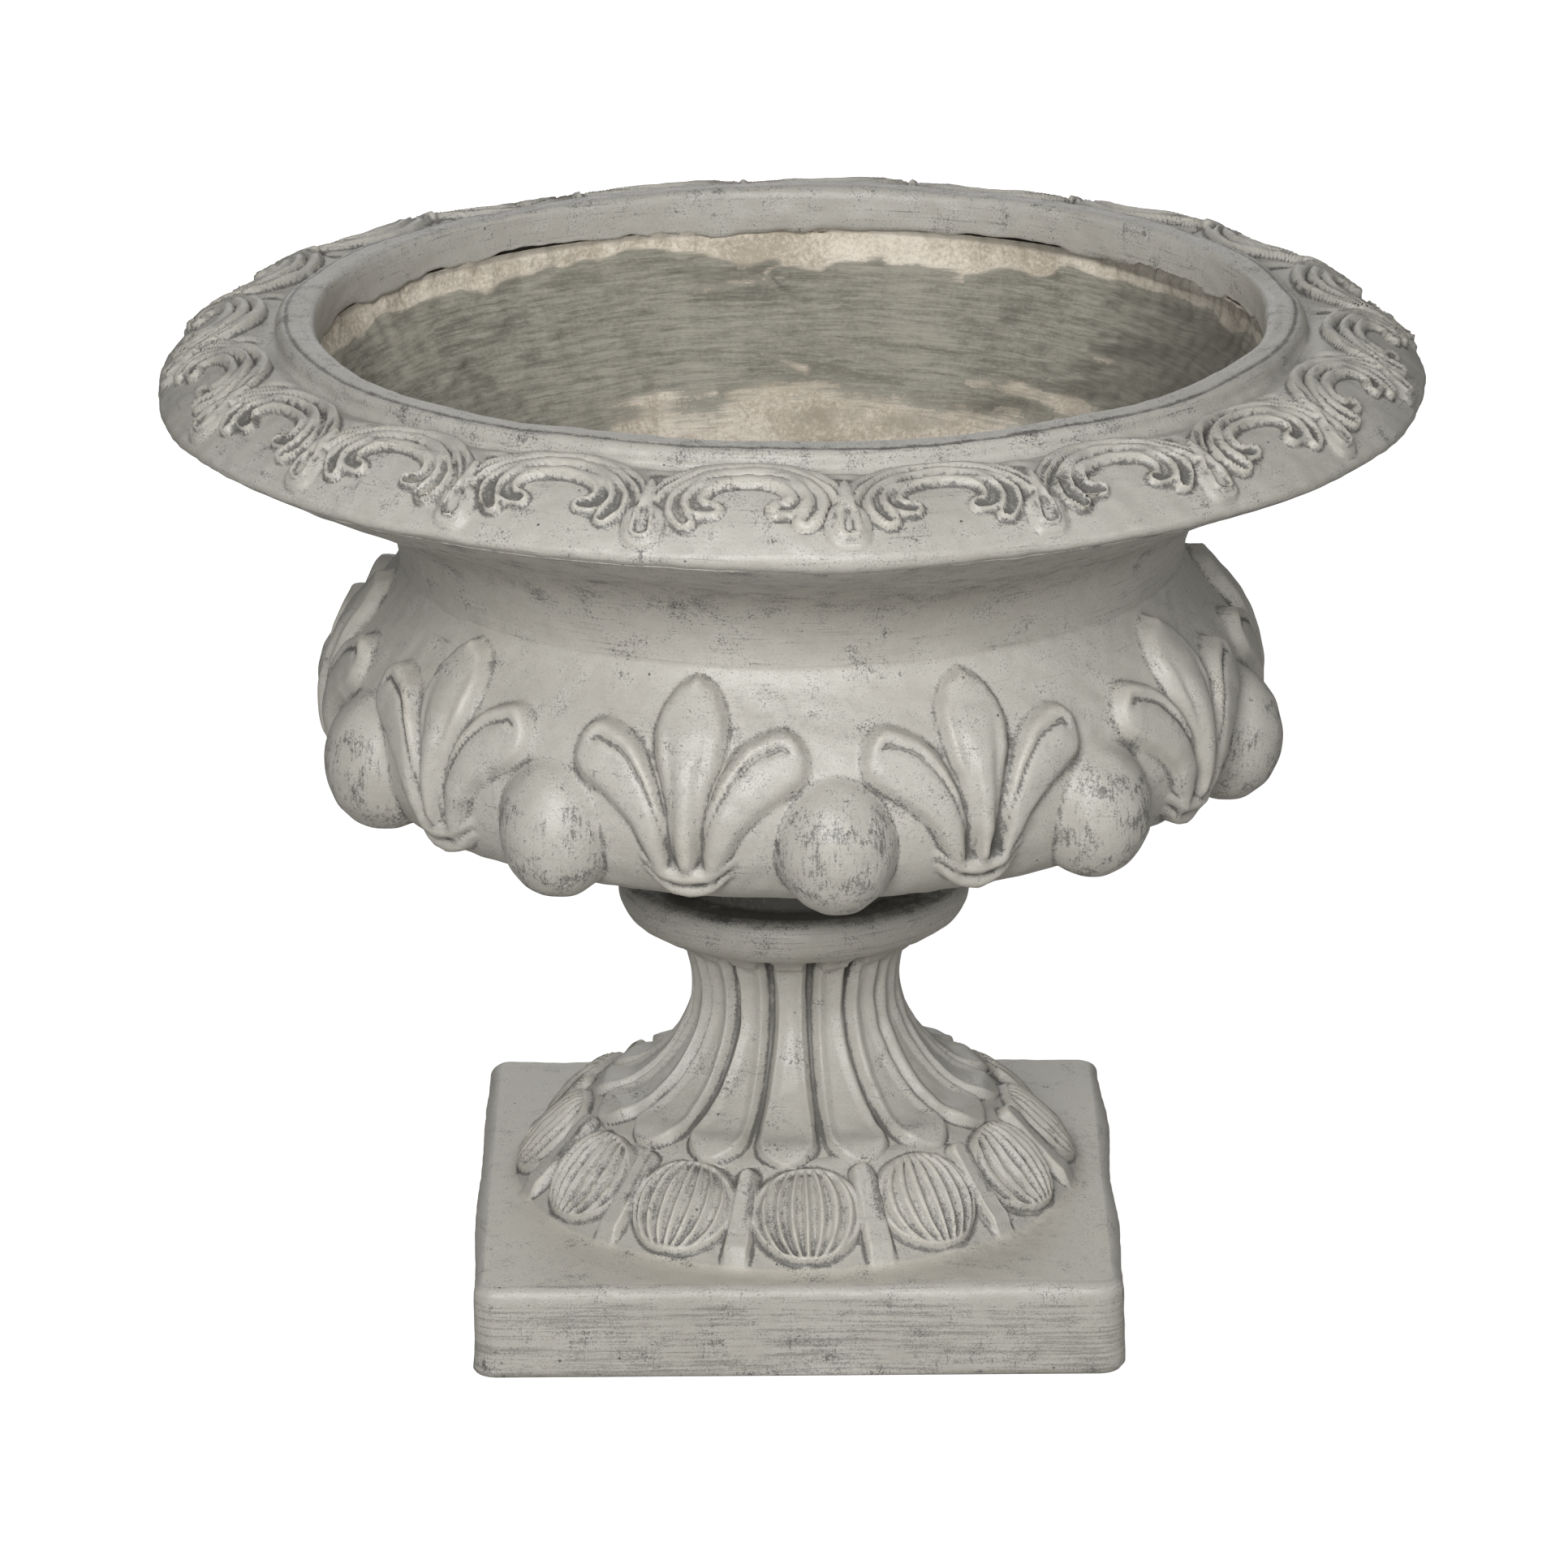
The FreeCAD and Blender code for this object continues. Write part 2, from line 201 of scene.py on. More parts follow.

# %% [markdown]
# Each layer is a mask: the mark or the noise that it follows, broken up by other noises, and a ramp
# that cuts it to patches with soft edges. Most layers are wear and wash; the crest layer also paints
# light on raised parts, and the recess layer paints shade as well as wash. The layers then go on one
# over the other, as a painter would lay them.

# %% Wash, wear, painted shade and painted light
brushed = tree.mark("brush") * 0.16
streaked = tree.mark("streak") * 0.2
hollow = tree.mark("recess")
crest = (tree.mark("crest") + grain.swing(1.2) + patches.swing(1.2)).ramp(0.30, 1.0)
smudge = (grime + clouds.swing(0.7) + grain.swing(0.5)).ramp(0.54, 0.76)
speck = (grain + patches.swing(0.5)).ramp(0.57, 0.72)
level_wash = (level_lines + grain.swing(0.5) + patches.swing(0.4) + brushed).ramp(0.60, 0.82)
upright_wash = (upright_lines + grain.swing(0.5) + patches.swing(1.1) + streaked).ramp(0.64, 0.86)
recess = (hollow * 1.15 + grain.swing(1.2) + grime.swing(0.8) + patches.swing(1.2)).ramp(0.28, 1.0)
lime = (hollow + clouds.swing(2.2) + grime.swing(1.4)).ramp(0.95, 1.45)

layers = (
    # mask, strength and colour, with the layer that is laid on first at the top
    # crest: worn edges, and painted highlights on raised parts and on the plinth top
    (crest, 0.50, STONE_CREAM),
    (smudge, 0.20, STONE_WASH_AND_SHADE),
    (speck, 0.42, STONE_WASH_AND_SHADE),
    (level_wash, 0.44, STONE_WASH_AND_SHADE),
    (upright_wash, 0.70, STONE_WASH_AND_SHADE),
    # recess: dark wash, and painted shade in hollows, grooves and creases, under the bowl and under the rim
    (recess, 0.80, STONE_WASH_AND_SHADE),
    (lime, 0.45, STONE_CREAM),
    (pinhole, 0.85, STONE_WASH_AND_SHADE),
)
colour = tone.mix(STONE_MID, STONE_LIGHT)
for mask, strength, paint in layers:
    colour = (mask * strength).mix(colour, paint)
relief = grain * 0.35 + grime * 0.40 + patches * 0.35 + level_lines * 0.20 - pinhole * 1.2
close_finish(tree, colour, 0.30 + grain * 0.24, relief, strength=0.50, depth=1.1, gloss=0.50)
print("cast stone has", len(layers), "layers of wear and", len(cast_stone.node_tree.nodes), "nodes")

# %% [markdown]
# Inside the bowl the backing was laid up by hand. It is sandy and tan where it was left rough, and a
# smooth grey green where the trowel smeared it. The mesh marks the smeared places as `smear`. The
# strokes are noises stretched along the wall, some level and some falling.

# %% Backing
SAND_LIGHT = (0.860, 0.790, 0.680, 1)
SAND_DARK = (0.470, 0.410, 0.325, 1)
SMEAR_LIGHT = (0.400, 0.382, 0.322, 1)
SMEAR_DARK = (0.165, 0.158, 0.130, 1)
BACKING_SHADE = (0.085, 0.080, 0.065, 1)

backing, tree = new_finish("backing")
place = tree.node("ShaderNodeTexCoord", output="Object")
sand = place.noise(420, 5, 0.75)
blotch = place.noise(22, 4)
falling = place.noise(2.2, 6, 0.75, (14, 14, 190), (0, 0.30, 0))
level_set = place.noise(2.2, 6, 0.75, (12, 12, 230), (0, -0.05, 0))
strokes = blotch.ramp(0.44, 0.56).mix(falling, level_set)
rough_colour = (sand * 0.55 + blotch * 0.45).ramp(0.36, 0.62).mix(SAND_DARK, SAND_LIGHT)
smear_tone = (strokes * 0.55 + blotch * 0.25 + sand * 0.2).ramp(0.37, 0.62)
smear_colour = smear_tone.mix(SMEAR_DARK, SMEAR_LIGHT)
broken_up = blotch.swing(1.3) + strokes.swing(1.0) + sand.swing(0.7)
smeared = (tree.mark("smear") + broken_up).ramp(0.36, 0.64)
# the recess mark paints shade and shadow on the backing, and a darker patch on the right wall
backing_shade = (tree.mark("recess") + sand.swing(0.5)).ramp(0.30, 0.90)
colour = (backing_shade * 0.75).mix(smeared.mix(rough_colour, smear_colour), BACKING_SHADE)
relief = sand * (1 - smeared) * 1.2 + strokes * smeared * 1.1 + blotch * 0.4
close_finish(tree, colour, 0.75 + sand * 0.2, relief, strength=0.6, depth=1.6, gloss=0.25)
print("backing has", len(backing.node_tree.nodes), "nodes")

# %% [markdown]
# The drain plug is black rubber, greyed by dust that lies in its pores.

# %% Rubber
RUBBER_BLACK = (0.018, 0.018, 0.019, 1)
RUBBER_DUST = (0.105, 0.098, 0.085, 1)

rubber, tree = new_finish("plug_rubber")
place = tree.node("ShaderNodeTexCoord", output="Object")
dust = place.noise(260, 5, 0.7)
colour = dust.ramp(0.45, 0.75).mix(RUBBER_BLACK, RUBBER_DUST)
close_finish(tree, colour, 0.55 + dust * 0.3, dust, strength=0.25, depth=0.5, gloss=0.40)
print("rubber has", len(rubber.node_tree.nodes), "nodes")

# %% [markdown]
# The urn is round, and its carving repeats: twenty arches, ten palmettes, sixteen tongues, twelve
# pods. So one repeat is drawn as a grid over a stretch of the outline and lifted by a relief, and
# copies of it go round the axis. First come the tools for outlines: a line of straight runs and a
# smooth one through a few points, both spaced evenly, and a soft step from nought to one.

# %% Outline tools
CURVE_STEPS = 60


def way(points):
    # The length of the way from the first point to each point
    return np.r_[0, np.cumsum(np.linalg.norm(np.diff(points, axis=0), axis=1))]


def straight(points, count):
    knots = np.array(points, float)
    reach = way(knots)
    even = np.linspace(0, reach[-1], count)
    return np.stack([np.interp(even, reach, knots[:, axis]) for axis in (0, 1)], 1)


def smooth_line(points, count):
    knots = np.array(points, float)
    reach = way(knots)
    slope = np.gradient(knots, reach, axis=0)
    fine = np.linspace(0, reach[-1], CURVE_STEPS * len(knots))
    index = np.clip(np.searchsorted(reach, fine, "right") - 1, 0, len(knots) - 2)
    gap = (reach[index + 1] - reach[index])[:, None]
    part = (fine - reach[index])[:, None] / gap
    line = ((1 + 2 * part) * (1 - part) ** 2 * knots[index] + part * (1 - part) ** 2 * gap * slope[index]
            + part ** 2 * (3 - 2 * part) * knots[index + 1] + part ** 2 * (part - 1) * gap * slope[index + 1])
    return straight(line, count)


def step(value, low, high):
    part = np.clip((value - low) / (high - low), 0, 1)
    return part * part * (3 - 2 * part)


print("a quarter bend keeps", len(smooth_line([(0, 0), (7, 3), (10, 10)], 5)), "points")

# %% [markdown]
# A band is a grid: rows follow the outline, columns go round part of the axis. Its relief function
# gets the angle, the length along the outline, the radius and the height of each point, and gives how
# far to lift it and which marks to leave. A mark can also be given by itself, as a number or as a
# function of the grid.

# %% Bands
MARKS = ("recess", "crest", "brush", "streak", "smear", "hand")
SHORTEST = 1e-9


def band(line, columns, span, relief=None, **given):
    angle = np.repeat(np.linspace(-span / 2, span / 2, columns + 1)[None], len(line), 0)
    radius = np.repeat(line[:, :1], columns + 1, 1)
    height = np.repeat(line[:, 1:], columns + 1, 1)
    slope = np.gradient(line, axis=0)
    slope /= np.maximum(np.linalg.norm(slope, axis=1), SHORTEST)[:, None]
    grid = {"angle": angle, "radius": radius, "height": height, "out": (-slope[:, 1:], slope[:, :1]),
            "along": np.repeat(way(line)[:, None], columns + 1, 1)}
    marks = {name: np.zeros_like(angle) for name in MARKS}
    for name, value in given.items():
        marks[name] += value(grid) if callable(value) else value
    if relief:
        lift, made = relief(grid)
        marks.update(made)
        radius = radius + lift * grid["out"][0]
        height = height + lift * grid["out"][1]
    points = np.stack([radius * np.sin(angle), -radius * np.cos(angle), height], -1)
    return {"points": points, "marks": marks}


print("marks on every mesh:", ", ".join(MARKS))

# %% [markdown]
# Bands are stacked into one closed loop, so that every piece is a closed shell. Where one band is
# finer than the next, each coarse cell is filled with a fan of triangles instead of one quad.

# %% Sectors
def stitch(upper, lower):
    if len(upper) == len(lower):
        return np.stack([upper[:-1], lower[:-1], lower[1:], upper[1:]], 1).tolist()
    coarse, fine = sorted((upper, lower), key=len)
    ratio = (len(fine) - 1) // (len(coarse) - 1)
    middle = ratio // 2
    faces = []
    for cell in range(len(coarse) - 1):
        for part in range(ratio):
            near = cell if part < middle else cell + 1
            first = cell * ratio + part
            faces.append([coarse[near], fine[first], fine[first + 1]])
        faces.append([coarse[cell], fine[cell * ratio + middle], coarse[cell + 1]])
    return faces if fine is lower else [face[::-1] for face in faces]


def sector_mesh(name, bands):
    rows, start = [], 0
    for part in bands:
        count, width = part["points"].shape[:2]
        rows += [start + row * width + np.arange(width) for row in range(count)]
        start += count * width
    faces = []
    for upper, lower in zip(rows, rows[1:] + rows[:1]):
        faces += stitch(upper, lower)
    points = np.concatenate([part["points"].reshape(-1, 3) for part in bands])
    mesh = bpy.data.meshes.new(name)
    mesh.from_pydata((points * MM).tolist(), [], faces)
    for mark in MARKS:
        values = np.concatenate([part["marks"][mark].ravel() for part in bands])
        layer = mesh.attributes.new(mark, "FLOAT", "POINT")
        layer.data.foreach_set("value", values.astype(np.float32))
    return mesh


print("a row of 3 over a row of 5 takes", len(stitch(np.arange(3), np.arange(3, 8))), "triangles")

# %% [markdown]
# Copies round an axis are a job for Geometry Nodes. The tree puts a cloud of points on the axis, one
# for each repeat, turns a copy of the sector by its share of a full turn, makes the copies real, and
# welds them where they meet. The class that wires materials wires this tree too.

# %% Tree of copies
TREE_INPUTS = (("Sector", "Geometry"), ("Repeats", "Int"), ("First Turn", "Float"),
               ("Weld Distance", "Float"), ("Finish", "Material"))


def round_tree():
    group = bpy.data.node_groups.new("copies_round_axis", "GeometryNodeTree")
    for name, kind in TREE_INPUTS:
        group.interface.new_socket(name, in_out="INPUT", socket_type="NodeSocket" + kind)
    group.interface.new_socket("Ring", in_out="OUTPUT", socket_type="NodeSocketGeometry")
    inlet = group.nodes.new("NodeGroupInput").outputs
    given = {name: Wire(group, inlet[name]) for name, _ in TREE_INPUTS}
    tree = Wire(group)
    points = tree.node("GeometryNodePoints", {}, {"Count": given["Repeats"]})
    share = tree.maths("DIVIDE", tree.node("GeometryNodeInputIndex"), given["Repeats"])
    angle = tree.node("ShaderNodeMath", {"operation": "MULTIPLY_ADD"},
                      {0: share, 1: 2 * math.pi, 2: given["First Turn"]})
    turn = tree.node("ShaderNodeCombineXYZ", {}, {"Z": angle})
    copies = tree.node("GeometryNodeInstanceOnPoints", {},
                       {"Points": points, "Instance": given["Sector"], "Rotation": turn})
    real = tree.node("GeometryNodeRealizeInstances", {}, {"Geometry": copies})
    welded = tree.node("GeometryNodeMergeByDistance", {},
                       {"Geometry": real, "Distance": given["Weld Distance"]})
    smooth = tree.node("GeometryNodeSetShadeSmooth", {}, {"Geometry": welded})
    painted = tree.node("GeometryNodeSetMaterial", {}, {"Geometry": smooth, "Material": given["Finish"]})
    tree.node("NodeGroupOutput", {}, {"Ring": painted})
    return group


ROUND_TREE = round_tree()
ROUND_INPUT = {item.name: item.identifier for item in ROUND_TREE.interface.items_tree
               if item.in_out == "INPUT"}
print("tree inputs:", ", ".join(ROUND_INPUT))

# %% [markdown]
# A piece is one sector with that tree as its modifier. The inputs are set by their identifiers, and
# the result is read back as a plain mesh, so that no modifier is left on the finished piece.

# %% Copies round the axis
WELD_DISTANCE = 0.01


def copies_round(name, bands, repeats, first_turn, finish):
    sector = bpy.data.objects.new(name + "_sector", sector_mesh(name + "_sector", bands))
    scene.collection.objects.link(sector)
    modifier = sector.modifiers.new("round", "NODES")
    modifier.node_group = ROUND_TREE
    modifier[ROUND_INPUT["Repeats"]] = repeats
    modifier[ROUND_INPUT["First Turn"]] = math.radians(first_turn)
    modifier[ROUND_INPUT["Weld Distance"]] = WELD_DISTANCE * MM
    modifier[ROUND_INPUT["Finish"]] = finish
    evaluated = sector.evaluated_get(bpy.context.evaluated_depsgraph_get())
    mesh = bpy.data.meshes.new_from_object(evaluated)
    mesh.name = name
    bpy.data.objects.remove(sector)
    piece = bpy.data.objects.new(name, mesh)
    scene.collection.objects.link(piece)
    return piece


print("copies are welded at", WELD_DISTANCE, "mm")

# %% [markdown]
# Some work is done on the whole piece after the copies are joined. Python loops over so many points
# would be slow, so these helpers read or write all the points, normals or marks of a mesh at once. The
# volume of a mesh is the sum of the slim pyramids from the origin to its triangles, and a number above
# zero shows that the faces point outwards.

# %% Mesh helpers
CUBIC_MM_PER_LITRE = 1e6


def positions(mesh):
    flat = np.zeros(len(mesh.vertices) * 3, np.float32)
    mesh.vertices.foreach_get("co", flat)
    return flat.reshape(-1, 3).astype(float) / MM


def write_positions(mesh, points):
    mesh.vertices.foreach_set("co", (points * MM).astype(np.float32).ravel())
    mesh.update()


def vertex_normals(mesh):
    flat = np.zeros(len(mesh.vertices) * 3, np.float32)
    mesh.vertex_normals.foreach_get("vector", flat)
    return flat.reshape(-1, 3).astype(float)


def read_mark(mesh, name):
    flat = np.zeros(len(mesh.vertices), np.float32)
    mesh.attributes[name].data.foreach_get("value", flat)
    return flat.astype(float)


def write_mark(mesh, name, values):
    mesh.attributes[name].data.foreach_set("value", values.astype(np.float32))


def report(piece):
    mesh = piece.data
    mesh.calc_loop_triangles()
    corner = np.zeros(len(mesh.loop_triangles) * 3, np.int32)
    mesh.loop_triangles.foreach_get("vertices", corner)
    a, b, c = positions(mesh)[corner.reshape(-1, 3)].transpose(1, 0, 2)
    litres = np.einsum("ij,ij->i", a, np.cross(b, c)).sum() / (6 * CUBIC_MM_PER_LITRE)
    print(piece.name, len(mesh.loop_triangles), "triangles,", round(litres, 2), "litres inside")


print("mesh helpers ready")

# %% [markdown]
# Nothing made by hand repeats exactly. After the copies are joined, a slow wave and a fine tremble
# move the surface by a millimetre or so, wherever the `hand` mark allows it. Faces where pieces
# meet or stand on the floor carry no such mark and stay true. The waves are sums of plain sine waves
# with fixed seeds, so every run gives the same urn.

# %% Uneven hand work
SINE_WAVES = 14
SLOW_LENGTH = 120
FINE_LENGTH = 14


def drift(points, length, seed):
    draw = np.random.default_rng(seed)
    total = np.zeros(len(points))
    for _ in range(SINE_WAVES):
        direction = draw.normal(size=3)
        direction /= np.linalg.norm(direction)
        turn = 2 * math.pi / (length * draw.uniform(0.7, 1.5))
        total += np.sin(points @ direction * turn + draw.uniform(0, 2 * math.pi))
    return total / math.sqrt(SINE_WAVES / 2)


def unsettle(piece, slow, fine, seed):
    points = positions(piece.data)
    lift = slow * drift(points, SLOW_LENGTH, seed) + fine * drift(points, FINE_LENGTH, seed + 1)
    lift *= read_mark(piece.data, "hand")
    write_positions(piece.data, points + vertex_normals(piece.data) * lift[:, None])


print("waves of", SLOW_LENGTH, "and", FINE_LENGTH, "mm make the surface uneven")

# %% [markdown]
# Carving tools. A stroke is a path with a width that changes along it. For each grid point it gives
# the depth inside the stroke's edge, the place across the stroke from 0 in the middle to 1 at the
# edge, the share of the path that is passed, and the side. Softening a relief and taking it away from
# itself finds its hollows and its edges.

# %% Carving tools
PATH_STEPS = 90


def stroke(across, along, path, widths):
    line = smooth_line(path, PATH_STEPS)
    share = np.linspace(0, 1, PATH_STEPS)
    reach = way(np.array(path, float))
    wide = np.interp(share, reach / reach[-1], widths)
    dx = across[..., None] - line[:, 0]
    dy = along[..., None] - line[:, 1]
    ratio = np.hypot(dx, dy) / wide
    best = ratio.argmin(-1)
    slope = np.gradient(line, axis=0)
    turn = dx * slope[:, 1] - dy * slope[:, 0]
    side = np.sign(np.take_along_axis(turn, best[..., None], -1)[..., 0])
    ratio = np.take_along_axis(ratio, best[..., None], -1)[..., 0]
    return (1 - ratio) * wide[best], ratio, share[best], side


def soften(field, passes):
    for _ in range(passes):
        wide = np.concatenate([field[:, -2:-1], field, field[:, 1:2]], 1)
        field = (wide[:, :-2] + 2 * wide[:, 1:-1] + wide[:, 2:]) / 4
        tall = np.concatenate([field[:1], field, field[-1:]], 0)
        field = (tall[:-2] + 2 * tall[1:-1] + tall[2:]) / 4
    return field


# The hollows feed the dark wash and painted shade, the edges the worn edges and painted highlights
def hollow_and_edge_marks(lift, passes, depth):
    around = soften(lift, passes)
    return np.clip((around - lift) / depth, 0, 1), np.clip((lift - around) / depth, 0, 1)


def soft_max(first, second, blend):
    gap = np.clip(0.5 + 0.5 * (first - second) / blend, 0, 1)
    return second * (1 - gap) + first * gap + blend * gap * (1 - gap)


def hump(value, width):
    return np.exp(-(value / width) ** 2)


print("a path is followed in", PATH_STEPS, "steps")

# %% [markdown]
# The rim carries a frieze of twenty arches. Each arch is three nested scrolls: shallow troughs with
# soft raised edges that widen to rounded ends. Between two arches hangs a tassel over a flat drop.
# It could be sculpted by hand, but strokes with a few points each stay sharp and can be corrected.
# A half arch is drawn and used on both sides, since the arch is symmetrical. Its scrolls are squashed
# a little towards its top.

# %% Frieze relief
FRIEZE_RADIUS = 310
FRIEZE_REPEATS = 20
FRIEZE_SPAN = 2 * math.pi / FRIEZE_REPEATS
FRIEZE_HALF = FRIEZE_SPAN / 2 * FRIEZE_RADIUS
FRIEZE_MARGIN = 5
ARCH_TOP = 10
ARCH_SQUASH = 0.83
SCROLLS = (
    # path as sideways and outward lengths, half widths, height, depth of the trough
    (((0, 30), (10, 31.5), (18.5, 35), (24.5, 41.5), (25.5, 47.5), (22.5, 52.5), (17, 54)),
     (2.8, 3.2, 3.8, 4.8, 5.6, 6.0, 5.4), 4.6, 3.2),
    (((0, 21), (12, 23), (22, 28.5), (30, 37), (33.8, 46), (32.8, 55), (29, 62.5)),
     (2.8, 3.1, 3.6, 4.2, 5.0, 5.6, 4.8), 5.2, 3.4),
    (((0, 11), (14, 13.5), (27, 20), (37, 29), (43, 38), (46, 48)),
     (3.0, 3.4, 3.8, 4.0, 3.4, 2.4), 5.0, 2.6),
    (((FRIEZE_HALF, 34), (FRIEZE_HALF, 49), (FRIEZE_HALF, 61), (FRIEZE_HALF, 69)),
     (1.8, 3.6, 5.4, 6.0), 6.0, 3.2),
)
DROP_PATH, DROP_WIDTHS, DROP_HEIGHT = ((FRIEZE_HALF, 52), (FRIEZE_HALF, 60.5)), (10.0, 9.5), 3.0
PIT_PATH, PIT_WIDTHS, PIT_DEPTH = ((FRIEZE_HALF, 14), (FRIEZE_HALF, 27)), (9, 3), 2.6


def frieze(grid):
    across = np.abs(grid["angle"]) * FRIEZE_RADIUS
    along = grid["along"]
    drawn = ARCH_TOP + (along - ARCH_TOP) / ARCH_SQUASH
    inside, _, _, _ = stroke(across, along, DROP_PATH, DROP_WIDTHS)
    lift = DROP_HEIGHT * step(inside, -1.2, 2.2)
    trough = np.zeros_like(lift)
    for path, widths, high, dip in SCROLLS:
        inside, _, share, _ = stroke(across, drawn, path, widths)
        dish = step(inside, 1.0, 3.6) * step(share, 0.35, 0.70)
        scroll = high * step(inside, -1.5, 1.4) - dip * dish
        trough = np.where(scroll > lift, step(inside, 1.8, 4.2) * step(share, 0.5, 0.9), trough)
        lift = np.maximum(lift, scroll)
    pit, _, _, _ = stroke(across, along, PIT_PATH, PIT_WIDTHS)
    lift -= PIT_DEPTH * step(pit, -1, 5)
    end = along.max()
    lift *= step(along, 0, FRIEZE_MARGIN) * (1 - step(along, end - FRIEZE_MARGIN, end))
    recess, crest = hollow_and_edge_marks(lift, 3, 0.9)
    recess = np.clip(0.85 * recess + 0.50 * trough + 0.5 * step(pit, 0, 5), 0, 1)
    return lift, {"recess": recess, "crest": 0.8 * crest}


print("frieze unit is", round(2 * FRIEZE_HALF, 1), "mm wide")

# %% [markdown]
# The rim piece is one closed loop: up the inner face of the plain ring, over its top, across the
# carved crown to the lip, and back inside the casting. Only the crown and the lip need many columns. A
# line is scribed along the outer edge of the ring's top and holds the dark wash.

# %% Bowl rim
FRIEZE_TURN = 13.8
FINE_COLUMNS, PLAIN_COLUMNS, HIDDEN_COLUMNS = 72, 24, 12
RING_LINE = 14.0
RING_FOOT = 518.6


def ring_line(grid):
    line = hump(grid["along"] - RING_LINE, 1.1)
    return -0.5 * line, {"recess": 0.3 + 0.6 * line}


ring_inner = smooth_line([(254.0, RING_FOOT), (253.4, 526), (253.4, 533), (253.7, 538.4)], 10)
ring_top = smooth_line([(254.5, 540.4), (256.4, 541.7), (262, 542), (267.6, 541.8), (270.4, 541),
                        (272, 539.2), (273, 535)], 22)
crown = smooth_line([(274.2, 530.6), (286, 532.6), (305, 530), (321, 521.2), (332, 511.8),
                     (336.6, 506.4)], 52)
lip = smooth_line([(337.2, 504.4), (336.4, 501.2), (333, 498.6)], 5)
rim_inside = straight([(330, 498), (322, 500), (270, 514), (264, RING_FOOT)], 6)
rim_bands = [
    band(ring_inner, PLAIN_COLUMNS, FRIEZE_SPAN, hand=1, brush=0.40),
    band(ring_top, PLAIN_COLUMNS, FRIEZE_SPAN, ring_line, hand=1, brush=0.4),
    band(crown, FINE_COLUMNS, FRIEZE_SPAN, frieze, hand=1, brush=0.30),
    band(lip, FINE_COLUMNS, FRIEZE_SPAN, hand=1, brush=0.35),
    band(rim_inside, HIDDEN_COLUMNS, FRIEZE_SPAN),
]
bowl_rim = copies_round("bowl_rim", rim_bands, FRIEZE_REPEATS, FRIEZE_TURN, cast_stone)
unsettle(bowl_rim, slow=0.9, fine=0.18, seed=11)
report(bowl_rim)

# %% [markdown]
# The ring's inner edge was scraped while the mix was wet, so it hangs down unevenly over the backing.
# The lowest points of the inner face go up and down with a seeded wave that depends on the angle only.

# %% Ragged edge under the ring
RING_RADIUS = 254
EDGE_LOW, EDGE_HIGH = 518.5, 526
EDGE_DROP, EDGE_RISE = -4, 2.5


def ragged_edge(piece, seed):
    points = positions(piece.data)
    angle = np.arctan2(points[:, 0], -points[:, 1])
    circle = np.stack([np.sin(angle), np.cos(angle), 0 * angle], 1) * RING_RADIUS
    wave = 1.6 * drift(circle, 60, seed) + 1.1 * drift(circle, 17, seed + 1)
    on_inner_face = np.hypot(points[:, 0], points[:, 1]) < RING_RADIUS + 2
    low = (1 - step(points[:, 2], EDGE_LOW, EDGE_HIGH)) * on_inner_face
    points[:, 2] += low * np.clip(wave, EDGE_DROP, EDGE_RISE)
    write_positions(piece.data, points)


ragged_edge(bowl_rim, seed=17)
print("ring edge roughened over", EDGE_HIGH - EDGE_LOW, "mm")

# %% [markdown]
# The neck is a plain turned piece that starts under the lip and ends inside the belly's edge. Its upper
# part is painted darker as the shadow of the rim.

# %% Bowl neck
NECK_COLUMNS = 48


def rim_shadow(grid):
    # painted shadow of the rim, darkest just under the soffit
    return 0.42 * step(grid["height"], 415, 448)


soffit = smooth_line([(332.6, 498.4), (328, 496), (300, 483), (268, 468.5), (240, 455), (223, 442),
                      (213.5, 426), (209.6, 412), (208.6, 404)], 44)
neck_inside = straight([(204, 403), (195.5, 410), (262, 507), (300, 502), (326, 500)], 12)
neck_bands = [
    band(soffit, NECK_COLUMNS, FRIEZE_SPAN, hand=1, brush=0.4, recess=rim_shadow),
    band(neck_inside, HIDDEN_COLUMNS, FRIEZE_SPAN),
]
bowl_neck = copies_round("bowl_neck", neck_bands, FRIEZE_REPEATS, FRIEZE_TURN, cast_stone)
unsettle(bowl_neck, slow=0.9, fine=0.18, seed=11)
report(bowl_neck)

# %% [markdown]
# Round the belly stand ten palmettes with an egg-shaped berry between each two. The berry is a true
# egg: each point of the belly is pushed out along its normal until it meets the egg's far side, which
# is the larger root of a quadratic. A separate egg would need a seam, and here the stone runs on.

# %% Berry relief
BELLY_RADIUS = 246
BELLY_REPEATS = 10
BELLY_SPAN = 2 * math.pi / BELLY_REPEATS
BERRY_CENTRE = (236, 321.5)
BERRY_HALVES = (31, 37.5)
MISSED = -20.0


def berry_lift(grid, centre_angle):
    turn = grid["angle"] - centre_angle
    out_r, out_z = grid["out"]
    point = (grid["radius"] * np.cos(turn) - BERRY_CENTRE[0], grid["radius"] * np.sin(turn),
             grid["height"] - BERRY_CENTRE[1])
    outward = (out_r * np.cos(turn), out_r * np.sin(turn), out_z + 0 * turn)
    size = (BERRY_HALVES[0], BERRY_HALVES[0], BERRY_HALVES[1])
    a = sum((w / s) ** 2 for w, s in zip(outward, size))
    b = sum(p * w / s ** 2 for p, w, s in zip(point, outward, size))
    c = sum((p / s) ** 2 for p, s in zip(point, size)) - 1
    inside = b * b - a * c
    return np.where(inside > 0, (-b + np.sqrt(np.maximum(inside, 0))) / a, MISSED)


print("a berry is", 2 * BERRY_HALVES[1], "mm high")

# %% [markdown]
# A palmette is a pointed heart petal over two club-shaped side petals, tied by a double crescent. A
# side petal has a soft roll along its upper edge, parted from its face by a crease. The heart has a
# flute down each side.

